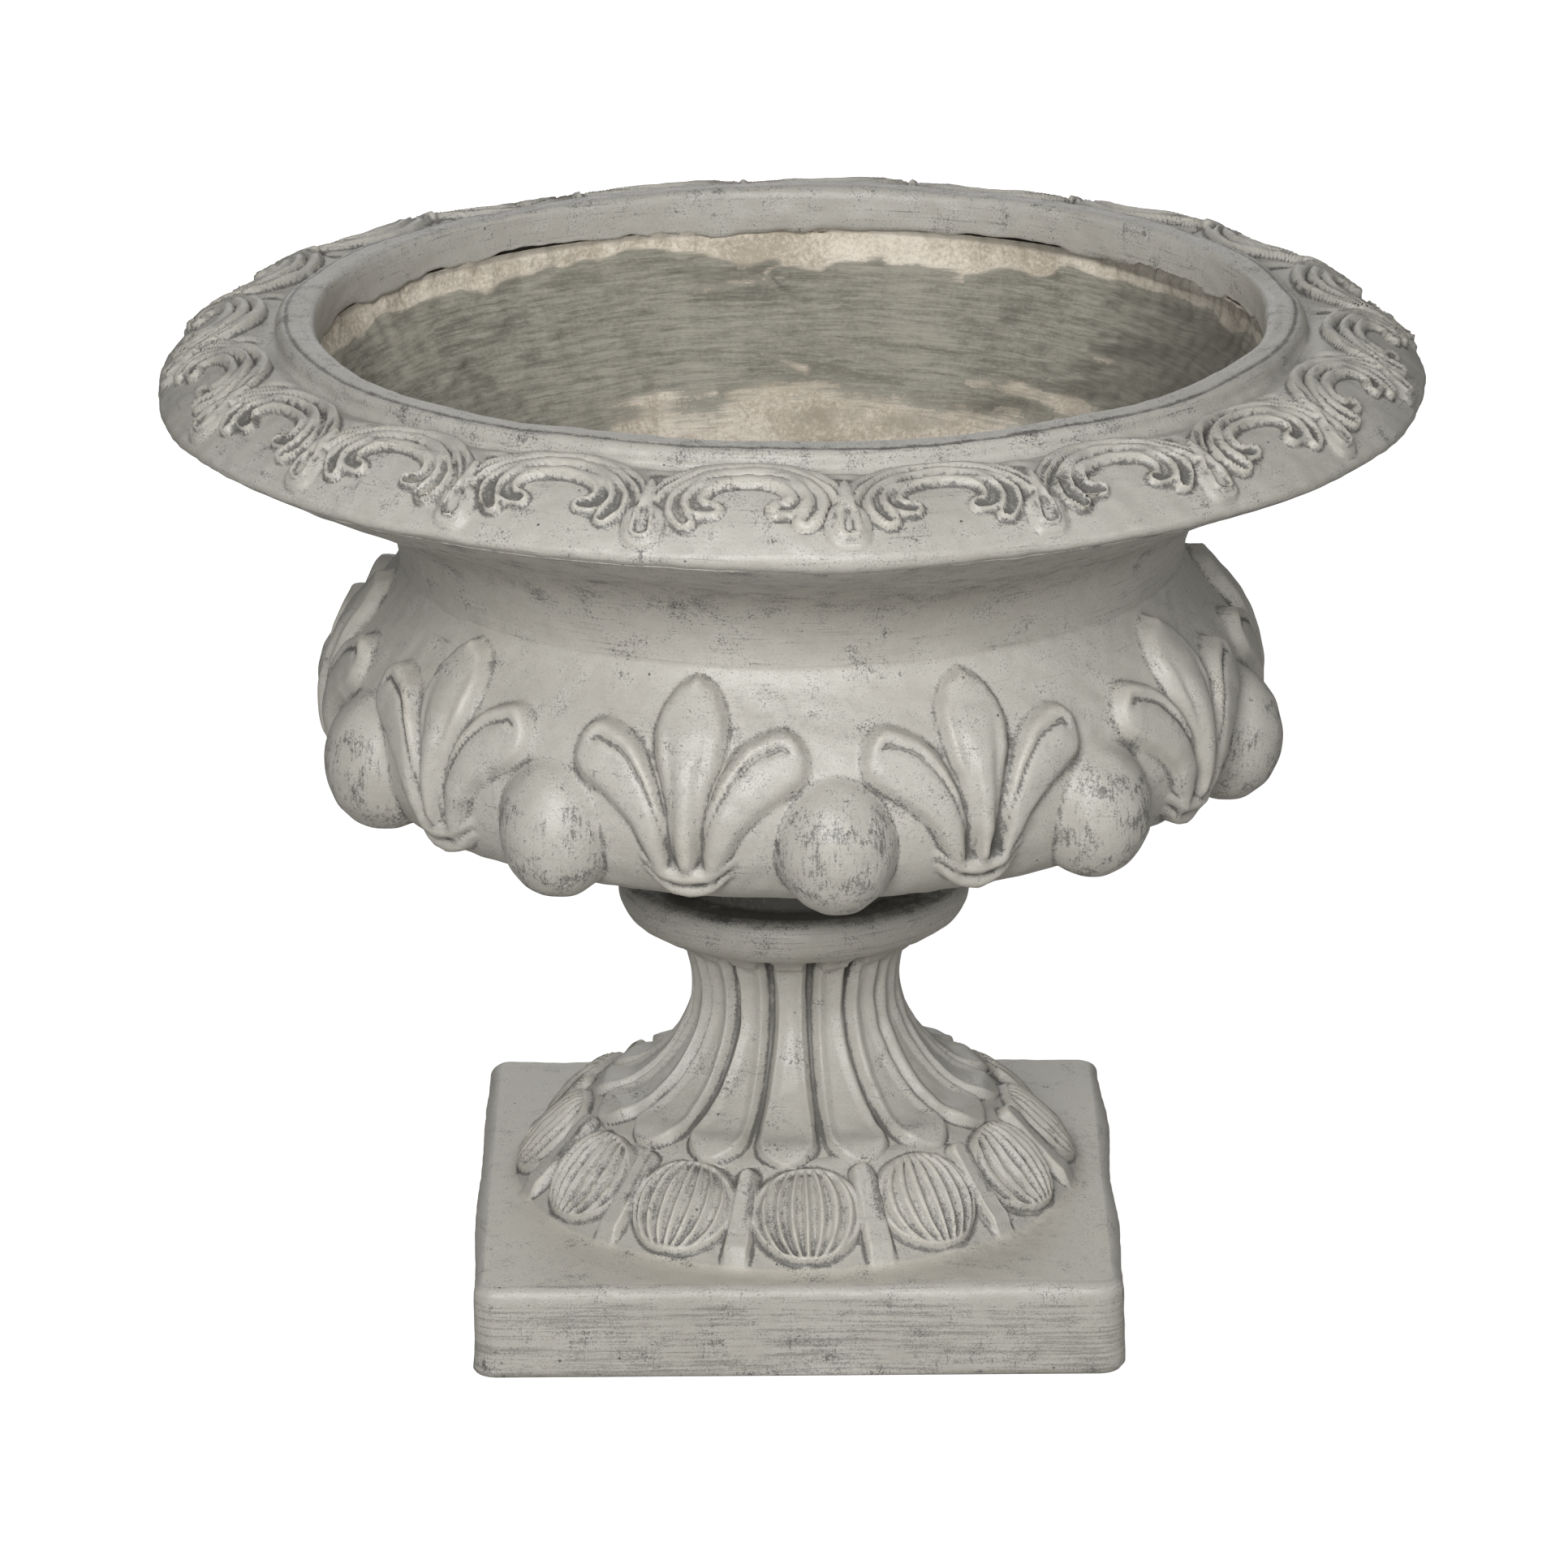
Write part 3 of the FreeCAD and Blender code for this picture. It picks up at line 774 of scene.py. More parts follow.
# %% Palmette relief
HEART_PATH = ((0, 296), (0, 318), (0, 340), (0, 358), (0, 370), (0, 379), (0, 386), (0, 392), (0, 398))
HEART_WIDTHS = (7.5, 8.0, 10.0, 14.5, 18.8, 20.6, 17.0, 11.5, 6.0)
HEART_HEIGHT, HEART_CROWN, FLUTE_DEPTH = 7.4, 2.6, 2.6
SIDE_PATH = ((9, 300), (14.5, 319), (20.5, 337), (29.5, 351.5), (39.5, 361), (49, 365.5))
SIDE_WIDTHS = (5.0, 8.0, 11.0, 14.8, 16.8, 15.6)
SIDE_HEIGHT, SIDE_CROWN, ROLL_HEIGHT, CREASE_DEPTH = 5.4, 2.8, 2.1, 1.8
SIDE_TIP = SIDE_PATH[-1]
SIDE_AIM = math.atan2(SIDE_TIP[1] - SIDE_PATH[-2][1], SIDE_TIP[0] - SIDE_PATH[-2][0])
CRESCENTS = (
    # path, half widths, height
    (((0, 309), (12, 310.4), (23, 315.5)), (4.2, 4.0, 2.8), 10.6),
    (((0, 300.5), (11, 302), (21.5, 308)), (4.2, 4.0, 2.8), 9.8),
)


def dome(ratio):
    return 1 - np.minimum(ratio, 1) ** 2


def side_petal(across, level):
    inside, ratio, share, side = stroke(across, level, SIDE_PATH, SIDE_WIDTHS)
    round_tip = np.arctan2(level - SIDE_TIP[1], across - SIDE_TIP[0]) - SIDE_AIM
    upper = np.where(share > 0.99, step(round_tip, -0.25, 0.75), 1.0 * (side < 0))
    rolled = upper * step(share, 0.10, 0.45)
    roll_width = 4.2 + 5.4 * step(share, 0.3, 0.95)
    roll = ROLL_HEIGHT * hump(inside - 0.5 * roll_width, 0.38 * roll_width) * rolled
    crease = hump(inside - roll_width, 1.4) * rolled
    petal = step(inside, -1.8, 6.0) * (SIDE_HEIGHT + SIDE_CROWN * dome(ratio)) + roll - CREASE_DEPTH * crease
    return petal * step(share, 0.0, 0.10), crease


def palmette(grid):
    across = np.abs(grid["angle"]) * BELLY_RADIUS
    level = grid["height"]
    petal, crease = side_petal(across, level)
    inside, ratio, _, _ = stroke(across, level, HEART_PATH, HEART_WIDTHS)
    flute = hump(ratio - 0.52, 0.20) * (1 - step(level, 352, 390))
    heart = step(inside, -1.4, 6.0) * (HEART_HEIGHT + HEART_CROWN * dome(ratio)) - FLUTE_DEPTH * flute
    heart *= (0.3 + 0.7 * step(level, 302, 318)) * step(level, 294, 304)
    petal *= 1 - 0.55 * hump(np.maximum(-inside, 0), 2.6)
    lift = np.maximum(petal, heart)
    for path, widths, high in CRESCENTS:
        bound, _, share, _ = stroke(across, level, path, widths)
        lift = soft_max(lift, high * (1 - 0.7 * share ** 2) * step(bound, -2.0, 3.0), 1.2)
    return lift, crease * (petal > heart)


print("belly unit is", round(BELLY_SPAN * BELLY_RADIUS, 1), "mm wide")

# %% [markdown]
# The belly piece starts at the faint edge where the neck ends, rolls out over the shoulder, and runs
# in below to the foot that stands on the collar. Below the foot a spigot drops into the pedestal's
# bore, and a drain hole runs up through it to the floor inside. Deep under the bowl and on the foot a
# painted shade darkens the stone, the broad hollows of the belly are painted darker and its raised
# parts lighter, and on the front of the berries the wash ran down in streaks.

# %% Bowl belly
BELLY_TURN = 23
BELLY_COLUMNS, UNDER_COLUMNS = 96, 48
BERRY_BLEND = 4.0
SEAT_LEVEL = 226
SPIGOT_RADIUS, SPIGOT_END = 35.4, 202
DRAIN_RADIUS, DRAIN_TOP = 12, 250


def belly_relief(grid):
    carved, crease = palmette(grid)
    berry = np.maximum(berry_lift(grid, BELLY_SPAN / 2), berry_lift(grid, -BELLY_SPAN / 2))
    lift = soft_max(carved, np.maximum(berry, -12), BERRY_BLEND)
    lift *= step(grid["along"], 0, 3)
    on_berry = step(berry - carved, -3, 3)
    recess, crest = hollow_and_edge_marks(lift, 3, 1.3)
    # broad hollows get painted shade and broad raised parts painted highlight
    hollow, proud = hollow_and_edge_marks(lift, 16, 5.0)
    front = step(BERRY_CENTRE[1] + 34 - grid["height"], 0, 20)
    wash_and_shade = np.clip(0.75 * recess + 0.5 * crease + 0.45 * hollow, 0, 1)
    return lift, {"recess": wash_and_shade * (1 - 0.75 * on_berry), "streak": 0.80 * on_berry * front,
                  "crest": (0.6 * crest + 0.4 * proud) * (1 - on_berry)}


def shade_under_bowl(grid):
    # painted shade under the bowl, darkest near the foot
    return 0.95 * (1 - step(grid["radius"], 105, 175))


belly = smooth_line([(209.8, 408.6), (213.5, 400), (222, 388), (235, 372), (243.6, 351), (245.6, 330),
                     (241, 310), (228, 292.5), (208, 283)], 90)
under = smooth_line([(205, 281.8), (186, 275.3), (150, 263.5), (110, 250.5), (80, 242)], 16)
foot = straight([(73.5, 240.2), (72, 239), (72, 226.2), (71.8, SEAT_LEVEL)], 6)
spigot = straight([(66, SEAT_LEVEL), (SPIGOT_RADIUS, SEAT_LEVEL), (SPIGOT_RADIUS, SPIGOT_END + 1),
                   (SPIGOT_RADIUS - 1, SPIGOT_END), (DRAIN_RADIUS, SPIGOT_END),
                   (DRAIN_RADIUS, DRAIN_TOP)], 12)
belly_inside = straight([(14, DRAIN_TOP), (60, DRAIN_TOP), (197.6, 287.8), (232, 334), (196, 409),
                         (204, 409.4)], 16)
belly_bands = [
    band(belly, BELLY_COLUMNS, BELLY_SPAN, belly_relief, hand=1),
    band(under, UNDER_COLUMNS, BELLY_SPAN, hand=1, brush=0.4, recess=shade_under_bowl),
    # the foot is painted dark as the shade in the gap over the collar
    band(foot, PLAIN_COLUMNS, BELLY_SPAN, brush=0.3, recess=0.9),
    band(spigot, HIDDEN_COLUMNS, BELLY_SPAN, brush=0.3),
    band(belly_inside, HIDDEN_COLUMNS, BELLY_SPAN),
]
bowl_belly = copies_round("bowl_belly", belly_bands, BELLY_REPEATS, BELLY_TURN, cast_stone)
unsettle(bowl_belly, slow=0.8, fine=0.15, seed=21)
report(bowl_belly)

# %% [markdown]
# The backing inside the bowl is a rough shell. Its surface rises from the drain over the floor and
# the hollow of the belly, narrows at the neck and opens like a funnel to the ring. Round the drain it
# stays smooth, so that the plug's head lies flat. It has no repeats, so its sector is a quarter.

# %% Bowl lining
QUARTERS = 4
QUARTER = 2 * math.pi / QUARTERS
LINING_COLUMNS = 200


def past_the_drain(grid):
    return step(grid["radius"], 24, 40)


lining_low = smooth_line([(14, 258.4), (60, 259), (120, 272), (184, 292), (214, 314), (220.5, 336),
                          (211, 366), (193, 396)], 40)
lining_top = smooth_line([(190.6, 401), (189, 413), (199, 432), (226, 466), (247, 495), (254.5, 508),
                          (255.8, 518.4)], 84)
lining_out = straight([(258, 518.7), (263.7, 518.7), (263.7, 509.4), (195.2, 410), (231.7, 334),
                       (197.4, 288), (60, 250.3), (DRAIN_RADIUS, 250.3), (DRAIN_RADIUS, 257.6)], 22)
lining_bands = [
    band(lining_low, LINING_COLUMNS // 4, QUARTER, hand=past_the_drain),
    band(lining_top, LINING_COLUMNS, QUARTER, hand=1),
    band(lining_out, LINING_COLUMNS // 4, QUARTER),
]
bowl_lining = copies_round("bowl_lining", lining_bands, QUARTERS, 0, backing)
unsettle(bowl_lining, slow=1.3, fine=0.35, seed=31)
report(bowl_lining)

# %% [markdown]
# Trowel strokes leave long scooped flats with a small ridge of mix at their upper edge. Each stroke is
# placed by seeded draws: an angle, a level, a slant, a length and a width. On the back wall a torn
# seam wanders down from the ring, and short wisps of sand show where the trowel skipped.

# %% Trowel marks
TROWEL_STROKES = 70
WISPS = 14
SEAM_PATH = ((34, 506), (4, 501), (-14, 494), (-4, 485), (20, 479), (38, 467), (58, 461), (80, 446))
SEAM_WIDTHS = (0.8, 1.2, 1.5, 1.2, 1.0, 0.9, 0.7, 0.4)


def scoops(angle, level, draw):
    lift = np.zeros(len(angle))
    for _ in range(TROWEL_STROKES):
        turn = (angle - draw.uniform(-math.pi, math.pi) + math.pi) % (2 * math.pi) - math.pi
        along = turn / draw.uniform(0.18, 0.60)
        across = (level - draw.uniform(415, 505) - draw.uniform(-80, 40) * turn) / draw.uniform(4, 13)
        fade = np.clip(1 - along ** 2, 0, 1)
        scoop = hump(across - 1, 0.22) - 0.8 * np.clip(1 - across ** 2, 0, 1)
        lift += fade * draw.uniform(0.4, 1.3) * scoop
    return lift


def torn_seam(points):
    line, _, share, side = stroke(points[:, 0], points[:, 2], SEAM_PATH, SEAM_WIDTHS)
    fade = (points[:, 1] > 0) * (1 - share) ** 0.6
    # painted shadow along one side of the seam ridge
    seam_shadow = 0.5 * hump(line + 1.8, 1.3) * fade * (side < 0)
    return 1.5 * step(line, -1.6, 1.2) * fade, 0.35 * step(line, -1.2, 0.8) * fade, seam_shadow


def wisps(points, draw):
    back = points[:, 1] > 0
    lift, bare = np.zeros(len(points)), np.zeros(len(points))
    for _ in range(WISPS):
        start = np.array((draw.uniform(-200, 150), draw.uniform(435, 500)))
        end = start + (draw.uniform(30, 90), draw.uniform(-22, 6))
        line, _, _, _ = stroke(points[:, 0], points[:, 2], (start, end), (2.4, 0.8))
        lift += 0.4 * step(line, -2.0, 1.0) * back
        bare = np.maximum(bare, 0.30 * step(line, -3.5, 1.0) * back)
    return lift, bare


print(TROWEL_STROKES, "trowel strokes and", WISPS, "wisps to lay")

# %% [markdown]
# Now the marks are laid on the backing. Just below the ring and again at the neck the sand was never
# smoothed, so it is left bare and cloddy there. The smeared places are left as a mark for the finish.
# A painted shadow under the ring and along the seam, painted shade in the trowel dents and a darker
# patch on the right wall go in as hollows.

# %% Trowelled wall
DARK_WALL_ANGLE = math.radians(112)
SAND_EDGE, SAND_DIP, SAND_DIP_AT = 510, 18, 60
DEEPEST, HIGHEST = -2.6, 3.2


def trowel(piece, seed):
    mesh = piece.data
    points = positions(mesh)
    normals = vertex_normals(mesh)
    allowed = read_mark(mesh, "hand")
    angle = np.arctan2(points[:, 0], -points[:, 1])
    level = points[:, 2]
    draw = np.random.default_rng(seed)
    scooped = scoops(angle, level, draw)
    seam_lift, seam_bare, seam_shadow = torn_seam(points)
    wisp_lift, wisp_bare = wisps(points, draw)
    lift = scooped + seam_lift + wisp_lift

    plan = points * (1, 1, 0)
    sway = 6 * drift(plan, 150, seed + 1) + 1.5 * drift(plan, 40, seed + 2)
    edge = SAND_EDGE - SAND_DIP * hump(points[:, 0] - SAND_DIP_AT, 130)
    band_top = step(level + 0.6 * sway + 1.2 * drift(points, 26, seed + 5), edge - 6, edge + 7)
    band_low = 1 - step(level + sway, 414, 454)
    clods = np.clip(drift(points, 9, seed + 3) + 0.6 * drift(points, 22, seed + 4), 0, 2)
    lift += clods * (0.7 * band_top + 0.35 * band_low)
    smear = 1 - np.maximum(band_top, 0.8 * band_low) - np.maximum(seam_bare, wisp_bare)
    # painted shadow under the ring's edge, and a darker patch on the right wall
    ring_shadow_and_dark_wall = 0.7 * step(level, 513, 518) + 0.75 * hump(angle - DARK_WALL_ANGLE, 0.5) * step(level, 405, 440)
    # painted shade in the trowel dents
    dents = 0.25 * np.clip(-lift, 0, 2)
    write_positions(mesh, points + normals * (np.clip(lift, DEEPEST, HIGHEST) * allowed)[:, None])
    write_mark(mesh, "smear", np.clip(smear, 0, 1) * allowed)
    write_mark(mesh, "recess", np.clip(ring_shadow_and_dark_wall + seam_shadow + dents, 0, 1) * allowed)


trowel(bowl_lining, seed=61)
print("wall trowelled between", DEEPEST, "and", HIGHEST, "mm")

# %% [markdown]
# Sixteen tongues run down the flared stem. Their faces are slightly hollow between soft raised edges.
# Each swells to a round toe below, starts at a small squared lip above, and narrow grooves, which
# open out towards the toes, part them. The grooves, the toes' undersides and the ends of the dishes are
# painted dark as shade. All follow from the distance to a tongue's edge, so one formula
# carves a quarter of the stem, which is four tongues.

# %% Stem relief
TONGUE_PITCH = math.radians(22.5)
TONGUE_TURN = math.radians(-3)
TONGUE_GAP, LIP_GAP, TOE_GAP = 1.9, 0.7, 0.2
TONGUE_HEIGHT, TOE_SWELL, LIP_HEIGHT, FACE_DEPTH = 4.3, 2.6, 2.2, 2.1
GROOVE_DEPTH, SLOT_DEPTH = 1.4, 1.8
TOE_LENGTH = 19.0
TOE_RADIUS = 105


def wrapped(angle, pitch, turn):
    return (angle - turn + pitch / 2) % pitch - pitch / 2


def tongues(grid):
    across = np.abs(wrapped(grid["angle"], TONGUE_PITCH, TONGUE_TURN)) * grid["radius"]
    along = grid["along"]
    left = along.max() - 1.5 - along
    gap = TONGUE_GAP + TOE_GAP * step(grid["radius"], 62, TOE_RADIUS) + LIP_GAP * (1 - step(along, 4, 15))
    half = TONGUE_PITCH / 2 * grid["radius"] - gap
    back = np.clip((TOE_LENGTH - left) / TOE_LENGTH, 0, 1)
    inside = half * np.sqrt(np.clip(1 - back ** 2, 0, 1)) - across
    inside = np.where(left < 0, -4, inside)
    edge = step(inside, -0.9, 3.2 + 2.2 * back)
    face = step(inside, 1.8, 8.0) * step(left, 6, 26) * step(along, 5, 14)
    toe = TONGUE_HEIGHT + TOE_SWELL * hump(left - 9, 13)
    lift = edge * toe * (0.65 + 0.35 * step(left, 0, 13)) - FACE_DEPTH * face
    lift += LIP_HEIGHT * edge * (1 - step(along, 2.5, 6.5))
    recess, crest = hollow_and_edge_marks(lift, 3, 1.2)
    groove = (1 - step(inside, -1.5, 0.4)) * (1 - step(along, 80, 132))
    slot = groove * (1 - step(along, 12, 34))
    lift -= GROOVE_DEPTH * groove + SLOT_DEPTH * slot
    under_toe = hump(inside + 0.6, 1.2) * step(along, 84, 104)
    dish_end = hump(left - 12 - 0.02 * across ** 2, 2.0) * step(inside, 3, 7)
    # painted shade in the grooves and slots, under the toes and at the ends of the dishes
    recess = np.clip(0.6 * recess + groove + slot + 0.3 * dish_end + 0.6 * under_toe, 0, 1)
    return lift, {"recess": recess, "crest": 0.8 * crest}


toe_width = TONGUE_PITCH * TOE_RADIUS - 2 * (TONGUE_GAP + TOE_GAP)
print("a tongue is", round(toe_width, 1), "mm wide at its toe")

# %% [markdown]
# The stem piece holds the dish-shaped collar that carries the bowl, the tongues, and the bore inside.
# It goes a little way down into the socle, so that no gap shows under the toes. The seat and the top of
# the collar are painted dark as the shade under the bowl.

# %% Pedestal stem
STEM_COLUMNS = 180
BORE_RADIUS = 36
HOLLOW_RADIUS = 87.5


def collar_shade(grid):
    # painted shade of the bowl on the collar's top, darkest at its inner edge
    return 0.6 * (1 - step(grid["along"], 2, 13))


seat = straight([(42, SEAT_LEVEL), (82, SEAT_LEVEL)], 4)
collar = smooth_line([(86, SEAT_LEVEL), (91.5, 224.6), (94.4, 220.5), (94.2, 214), (90, 206.5), (83, 201.5),
                      (75, 198.6)], 22)
stem = smooth_line([(62, 196.5), (57, 189.5), (53, 176), (52, 162), (54.6, 148), (60.5, 135), (69.5, 122.5),
                    (81, 111.5), (93, 103.8), (103, 98.9), (109, 95.7), (112.6, 92.6)], 100)
bore = straight([(108, 91.5), (100, 93), (HOLLOW_RADIUS, 93), (HOLLOW_RADIUS, 98), (56.9, 121), (38.5, 162),
                 (BORE_RADIUS, 162), (BORE_RADIUS, 224), (38, SEAT_LEVEL)], 16)
stem_bands = [
    # the seat under the bowl's foot is painted dark as shade
    band(seat, STEM_COLUMNS // 3, QUARTER, brush=0.4, recess=1),
    band(collar, STEM_COLUMNS // 3, QUARTER, hand=1, brush=0.62, recess=collar_shade),
    band(stem, STEM_COLUMNS, QUARTER, tongues, hand=1, brush=0.10),
    band(bore, STEM_COLUMNS // 6, QUARTER),
]
pedestal_stem = copies_round("pedestal_stem", stem_bands, QUARTERS, 0, cast_stone)
unsettle(pedestal_stem, slow=0.6, fine=0.15, seed=41)
report(pedestal_stem)

# %% [markdown]
# The socle below has twelve ribbed pods with a narrow dart between each two. A pod's ribs meet at its
# poles like the lines of longitude on a globe, so their place is the sideways distance divided by the
# pod's own width at that level.

# %% Socle relief
POD_PITCH = math.radians(30)
POD_TURN = math.radians(2.3)
POD_HALVES = (30.5, 28.5)
POD_LEVEL = 38.0
POD_RIBS = 8
POD_EDGE, POD_CROWN, RIB_HEIGHT, RIB_SINK = 2.2, 6.4, 3.4, 1.8
DART_PATH, DART_WIDTHS, DART_HEIGHT = ((0, 17), (0, 38), (0, 64)), (6.4, 7.2, 8.0), 6.4


def pods(grid):
    along = grid["along"]
    x = wrapped(grid["angle"], POD_PITCH, POD_TURN) * grid["radius"] / POD_HALVES[0]
    y = (along - POD_LEVEL) / POD_HALVES[1]
    ball = np.hypot(x, y)
    meridian = x / np.sqrt(np.clip(1 - y * y, 0.01, 1))
    rib = (0.5 + 0.5 * np.cos(math.pi * POD_RIBS * meridian)) ** 2
    on_face = (1 - step(ball, 0.82, 0.94)) * (1 - step(np.abs(y), 0.80, 0.96))
    inside = (1 - ball) * POD_HALVES[1]
    pod = step(inside, -1.2, 3.0) * (POD_EDGE + POD_CROWN * dome(ball) ** 0.7)
    pod += on_face * (RIB_HEIGHT * rib - RIB_SINK)
    border = 1.3 * hump(inside - 1.8, 1.1)
    side = wrapped(grid["angle"], POD_PITCH, POD_TURN + POD_PITCH / 2) * grid["radius"]
    bound, _, _, _ = stroke(np.abs(side), along, DART_PATH, DART_WIDTHS)
    dart = DART_HEIGHT * step(bound, -0.9, 2.4) * (1 - 0.7 * step(along, 58, 69))
    lift = np.maximum(pod + border, dart) * step(along, 0, 4)
    recess, crest = hollow_and_edge_marks(lift, 3, 1.0)
    # painted shade on the right half of each dart and in the creases round pods and darts; the gaps between
    # the ribs are darkened too
    shade = step(bound, 0, 2) * step(side, -1, 3) * (1 - step(along, 36, 58))
    crease = np.maximum(hump(inside + 1.2, 1.6) * (bound < 0), hump(bound + 1.0, 1.3) * (inside < 0))
    rib_gap = on_face * (1 - rib)
    recess = np.clip(0.6 * recess + 0.6 * shade + 0.30 * rib_gap + 0.5 * crease, 0, 1)
    return lift, {"recess": recess, "crest": crest}


print("pods sit", round(POD_LEVEL), "mm down the socle")

# %% [markdown]
# The plinth is a square slab with soft edges. Its rows start as the round foot of the socle and turn
# square on the way out: each row has a half side and a corner radius, and the distance from the axis
# to such a rounded square is worked out for every column.

# %% Rounded squares
PLINTH_HALF = 174
PLINTH_CORNER = 14
SHARPEST_CORNER = 2


def square_radius(angle, half, corner):
    x, y = np.abs(np.sin(angle)), np.abs(np.cos(angle))
    flat = half / np.maximum(x, y)
    centre = half - corner
    onto = (x + y) * centre
    bend = onto + np.sqrt(np.maximum(onto ** 2 - 2 * centre ** 2 + corner ** 2, 0))
    return np.where(flat * np.minimum(x, y) > centre, bend, flat)


def square_band(rows, columns, **given):
    # A row is the radius of its circle, the half side of its square, the share of the square, the height
    made = band(np.array([(1.0, row[3]) for row in rows]), columns, QUARTER, **given)
    angle = np.linspace(-QUARTER / 2, QUARTER / 2, columns + 1)
    for index, (circle, half, share, height) in enumerate(rows):
        corner = max(PLINTH_CORNER - (PLINTH_HALF - half), SHARPEST_CORNER)
        radius = circle * (1 - share) + square_radius(angle, half, corner) * share
        made["points"][index, :, 0] = radius * np.sin(angle)
        made["points"][index, :, 1] = -radius * np.cos(angle)
        made["points"][index, :, 2] = height
    return made


def rows_between(first, last, count):
    shares = np.linspace(0, 1, count + 1)[1:]
    return [tuple(np.array(first) + np.subtract(last, first) * share) for share in shares]


print("plinth is", 2 * PLINTH_HALF, "mm square")

# %% [markdown]
# The base piece is the socle with its pods and the plinth under it, in one closed loop that goes over
# the rounded edge, down the sides, and back up inside: below, the slab and the socle are hollow.

# %% Pedestal base
BASE_COLUMNS = 240
PLINTH_TOP, PLINTH_EDGE = 52, 7
POCKET_HALF, POCKET_TOP = 160, 38
SHELF_LEVEL, HOLLOW_TOP = 97.9, 97.8
EDGE_HALF = PLINTH_HALF - PLINTH_EDGE

shelf = straight([(90, SHELF_LEVEL), (101, SHELF_LEVEL)], 4)
socle = smooth_line([(103, SHELF_LEVEL), (107.5, 97.2), (111.5, 94.6), (131, 74.9), (146, 59.9),
                     (152.5, 55.2)], 58)
top_rows = [(155, PLINTH_HALF, 0.0, 53.8), (158.5, PLINTH_HALF, 0.0, 52.6)]
top_rows += rows_between((162, EDGE_HALF, 0, 52.1), (162, EDGE_HALF, 1, PLINTH_TOP), 8)
edge_rows = [(0, EDGE_HALF + PLINTH_EDGE * math.sin(turn), 1, PLINTH_TOP - PLINTH_EDGE * (1 - math.cos(turn)))
             for turn in np.linspace(0.2, math.pi / 2, 6)]
side_rows = rows_between((0, PLINTH_HALF, 1, PLINTH_TOP - PLINTH_EDGE), (0, PLINTH_HALF, 1, 4), 18)
hem_rows = [(0, PLINTH_HALF - 0.5, 1, 2), (0, PLINTH_HALF - 1.5, 1, 0.6), (0, PLINTH_HALF - 3, 1, 0)]
hollow_rows = [(0, POCKET_HALF + 2, 1, 0), (0, POCKET_HALF, 1, 1)]
hollow_rows += rows_between((0, POCKET_HALF, 1, 1), (0, POCKET_HALF, 1, POCKET_TOP), 3)
hollow_rows += rows_between((HOLLOW_RADIUS, POCKET_HALF, 1, POCKET_TOP),
                            (HOLLOW_RADIUS, POCKET_HALF, 0, POCKET_TOP), 4)
hollow_rows += rows_between((HOLLOW_RADIUS, POCKET_HALF, 0, POCKET_TOP),
                            (HOLLOW_RADIUS, POCKET_HALF, 0, HOLLOW_TOP), 3)
base_bands = [
    band(shelf, BASE_COLUMNS, QUARTER, hand=1, brush=0.2),
    band(socle, BASE_COLUMNS, QUARTER, pods, hand=1, brush=0.08),
    # crest lightens the plinth top as painted light where the bowl keeps the lamps off it, and the rounded
    # edge a little
    square_band(top_rows, BASE_COLUMNS, hand=1, brush=0.10, crest=1.1),
    square_band(edge_rows, BASE_COLUMNS, hand=1, brush=0.45, crest=0.2),
    square_band(side_rows, BASE_COLUMNS, hand=1, brush=1.1),
    square_band(hem_rows, BASE_COLUMNS, brush=0.75, streak=0.4),
    square_band(hollow_rows, BASE_COLUMNS // 4),
]
pedestal_base = copies_round("pedestal_base", base_bands, QUARTERS, 0, cast_stone)
unsettle(pedestal_base, slow=0.7, fine=0.12, seed=51)
report(pedestal_base)

# %% [markdown]
# The rubber plug has a tapered stem in the drain, a flat head and a knob to pull it by. It is turned
# like a chess piece, with rounded edges.

# %% Drain plug
PLUG_COLUMNS = 16

plug_head = smooth_line([(0.3, 271.3), (3.5, 271.2), (5.6, 269.8), (5.9, 267.4), (4.9, 264.6), (6.4, 262.7),
                         (12, 262.4), (16.6, 262.2), (17.8, 261), (17.8, 259.4), (16.8, 258.4)], 40)
plug_stem = straight([(16, 258.35), (11.6, 258.35), (10.2, 229), (9.2, 228.3), (0.3, 228.3)], 18)
plug_bands = [band(line, PLUG_COLUMNS, QUARTER) for line in (plug_head, plug_stem)]
drain_plug = copies_round("rubber_plug", plug_bands, QUARTERS, 0, rubber)
report(drain_plug)

# %% [markdown]
# Every piece rides on the body it belongs to and stands for the CAD node it dresses. The backing
# inside the pedestal keeps its CAD shape, since only a look from below shows it, and gets the rough
# finish.

# %% Bodies and CAD nodes
DRESSED = (
    (bowl_rim, "bowl", "bowl", "cast_stone"),
    (bowl_neck, "bowl", "bowl", "cast_stone"),
    (bowl_belly, "bowl", "bowl", "cast_stone"),
    (bowl_lining, "bowl", "bowl_backing", "backing"),
    (pedestal_stem, "pedestal", "pedestal", "cast_stone"),
    (pedestal_base, "pedestal", "pedestal", "cast_stone"),
    (drain_plug, "drain_plug", "drain_plug", "plug_rubber"),
)
for piece, body, node, slot in DRESSED:
    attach(piece, body)
    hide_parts(node)
inner_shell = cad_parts["pedestal_backing"]
inner_shell.data.materials.clear()
inner_shell.data.materials.append(backing)
print(len(DRESSED), "pieces dressed")

# %% [markdown]
# The photograph has a plain white ground. A wide pale floor, measured in metres, stands in for the
# studio. Seen directly, the floor and the air round it are lifted to white, while the light that they
# throw back on the urn stays low: a Light Path node tells a ray from the camera from the others.

# %% Floor and air
WHITE = (1, 1, 1, 1)
PAPER = (0.80, 0.80, 0.80, 1)
DIM_PAPER = (0.42, 0.41, 0.39, 1)
PAPER_LIFT = 0.82
AIR_GLOW = 0.16
FLOOR_HALF = 14

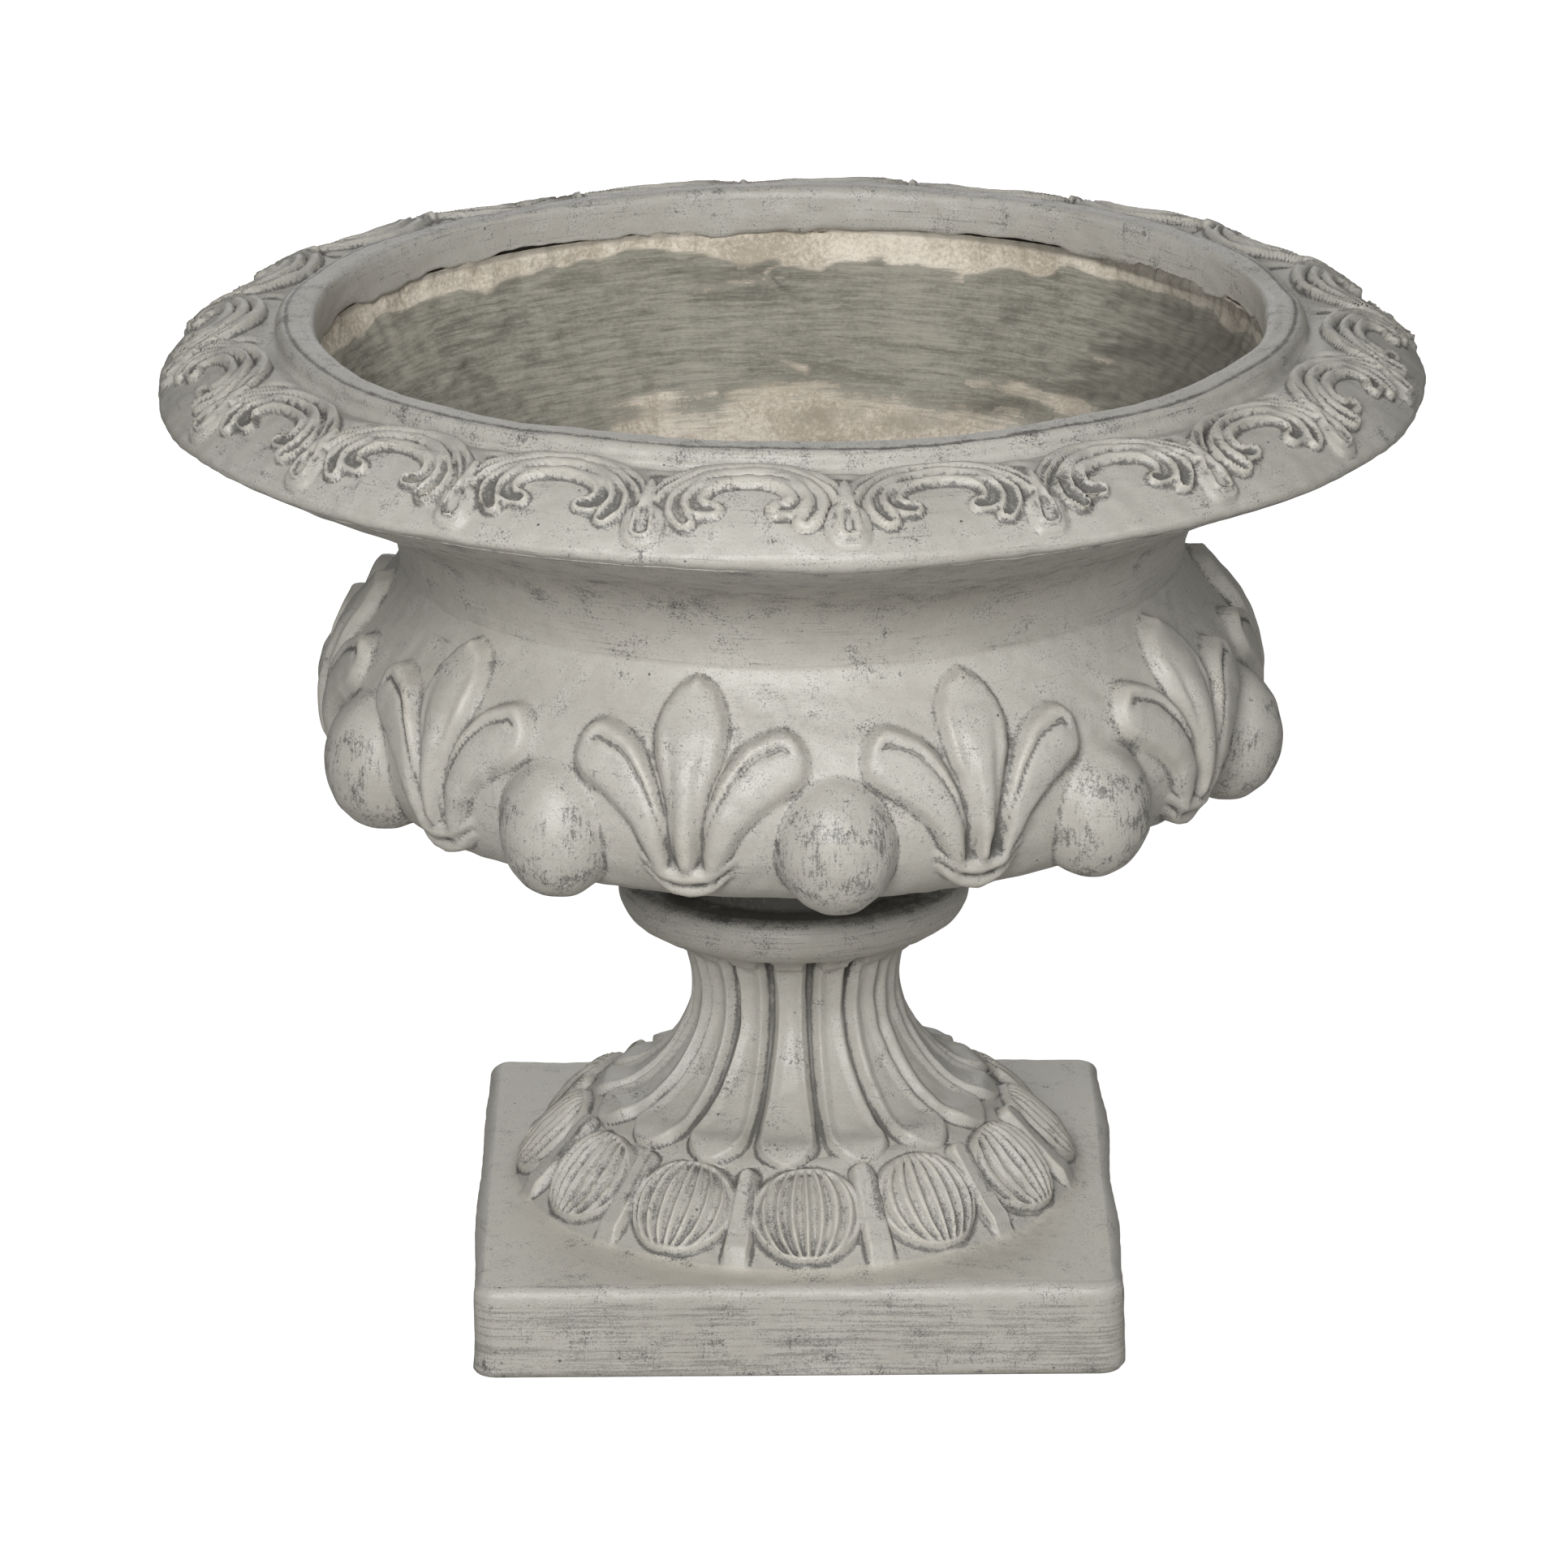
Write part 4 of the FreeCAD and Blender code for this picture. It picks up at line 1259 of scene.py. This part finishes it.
ground_finish, tree = new_finish("studio_floor")
ray = tree.node("ShaderNodeLightPath", output="Is Camera Ray")
paper = tree.node("ShaderNodeBsdfDiffuse", {}, {"Color": PAPER})
dim_paper = tree.node("ShaderNodeBsdfDiffuse", {}, {"Color": DIM_PAPER})
lifted = tree.node("ShaderNodeEmission", {}, {"Color": WHITE, "Strength": PAPER_LIFT})
both = tree.node("ShaderNodeAddShader", {}, {0: paper, 1: lifted})
shown = tree.node("ShaderNodeMixShader", {}, {0: ray, 1: dim_paper, 2: both})
tree.node("ShaderNodeOutputMaterial", {}, {"Surface": shown})

ground_mesh = bpy.data.meshes.new("studio_floor")
corners = [(x * FLOOR_HALF, y * FLOOR_HALF, 0) for x, y in ((-1, -1), (1, -1), (1, 1), (-1, 1))]
ground_mesh.from_pydata(corners, [], [(0, 1, 2, 3)])
ground_mesh.materials.append(ground_finish)
ground = bpy.data.objects.new("studio_floor", ground_mesh)
scene.collection.objects.link(ground)

sky = bpy.data.worlds.new("studio")
sky.use_nodes = True
sky.node_tree.nodes.clear()
air = Wire(sky.node_tree)
ray = air.node("ShaderNodeLightPath", output="Is Camera Ray")
glow = air.node("ShaderNodeBackground", {}, {"Color": WHITE, "Strength": AIR_GLOW})
white = air.node("ShaderNodeBackground", {}, {"Color": WHITE, "Strength": 1.0})
seen = air.node("ShaderNodeMixShader", {}, {0: ray, 1: glow, 2: white})
air.node("ShaderNodeOutputWorld", {}, {"Surface": seen})
scene.world = sky
print("floor is", 2 * FLOOR_HALF, "metres wide")

# %% [markdown]
# The light in the photograph is broad and soft and comes from the front. Large square lamps keep the
# shading soft: one main light, a weak one on the right, one overhead, and one behind for the views of
# the back. Their places and sizes are in metres, and their strength is in watts.

# %% Light
LAMPS = (
    # name, place, side, strength
    ("front", (-0.5, -3.1, 1.8), 1.2, 101),
    ("right_fill", (2.4, -1.6, 1.3), 1.2, 11),
    ("overhead", (-0.3, 0.3, 3.0), 2.2, 5),
    ("back_fill", (-0.1, 2.9, 1.0), 1.6, 10),
)
LIT_POINT = Vector((0, 0, 0.3))

for name, stand, side, watts in LAMPS:
    lamp = bpy.data.lights.new(name, "AREA")
    lamp.shape = "RECTANGLE"
    lamp.size = lamp.size_y = side
    lamp.energy = watts
    box = bpy.data.objects.new(name, lamp)
    box.location = stand
    box.rotation_euler = (LIT_POINT - Vector(stand)).to_track_quat("-Z", "Y").to_euler()
    scene.collection.objects.link(box)
print(len(LAMPS), "soft boxes lit")
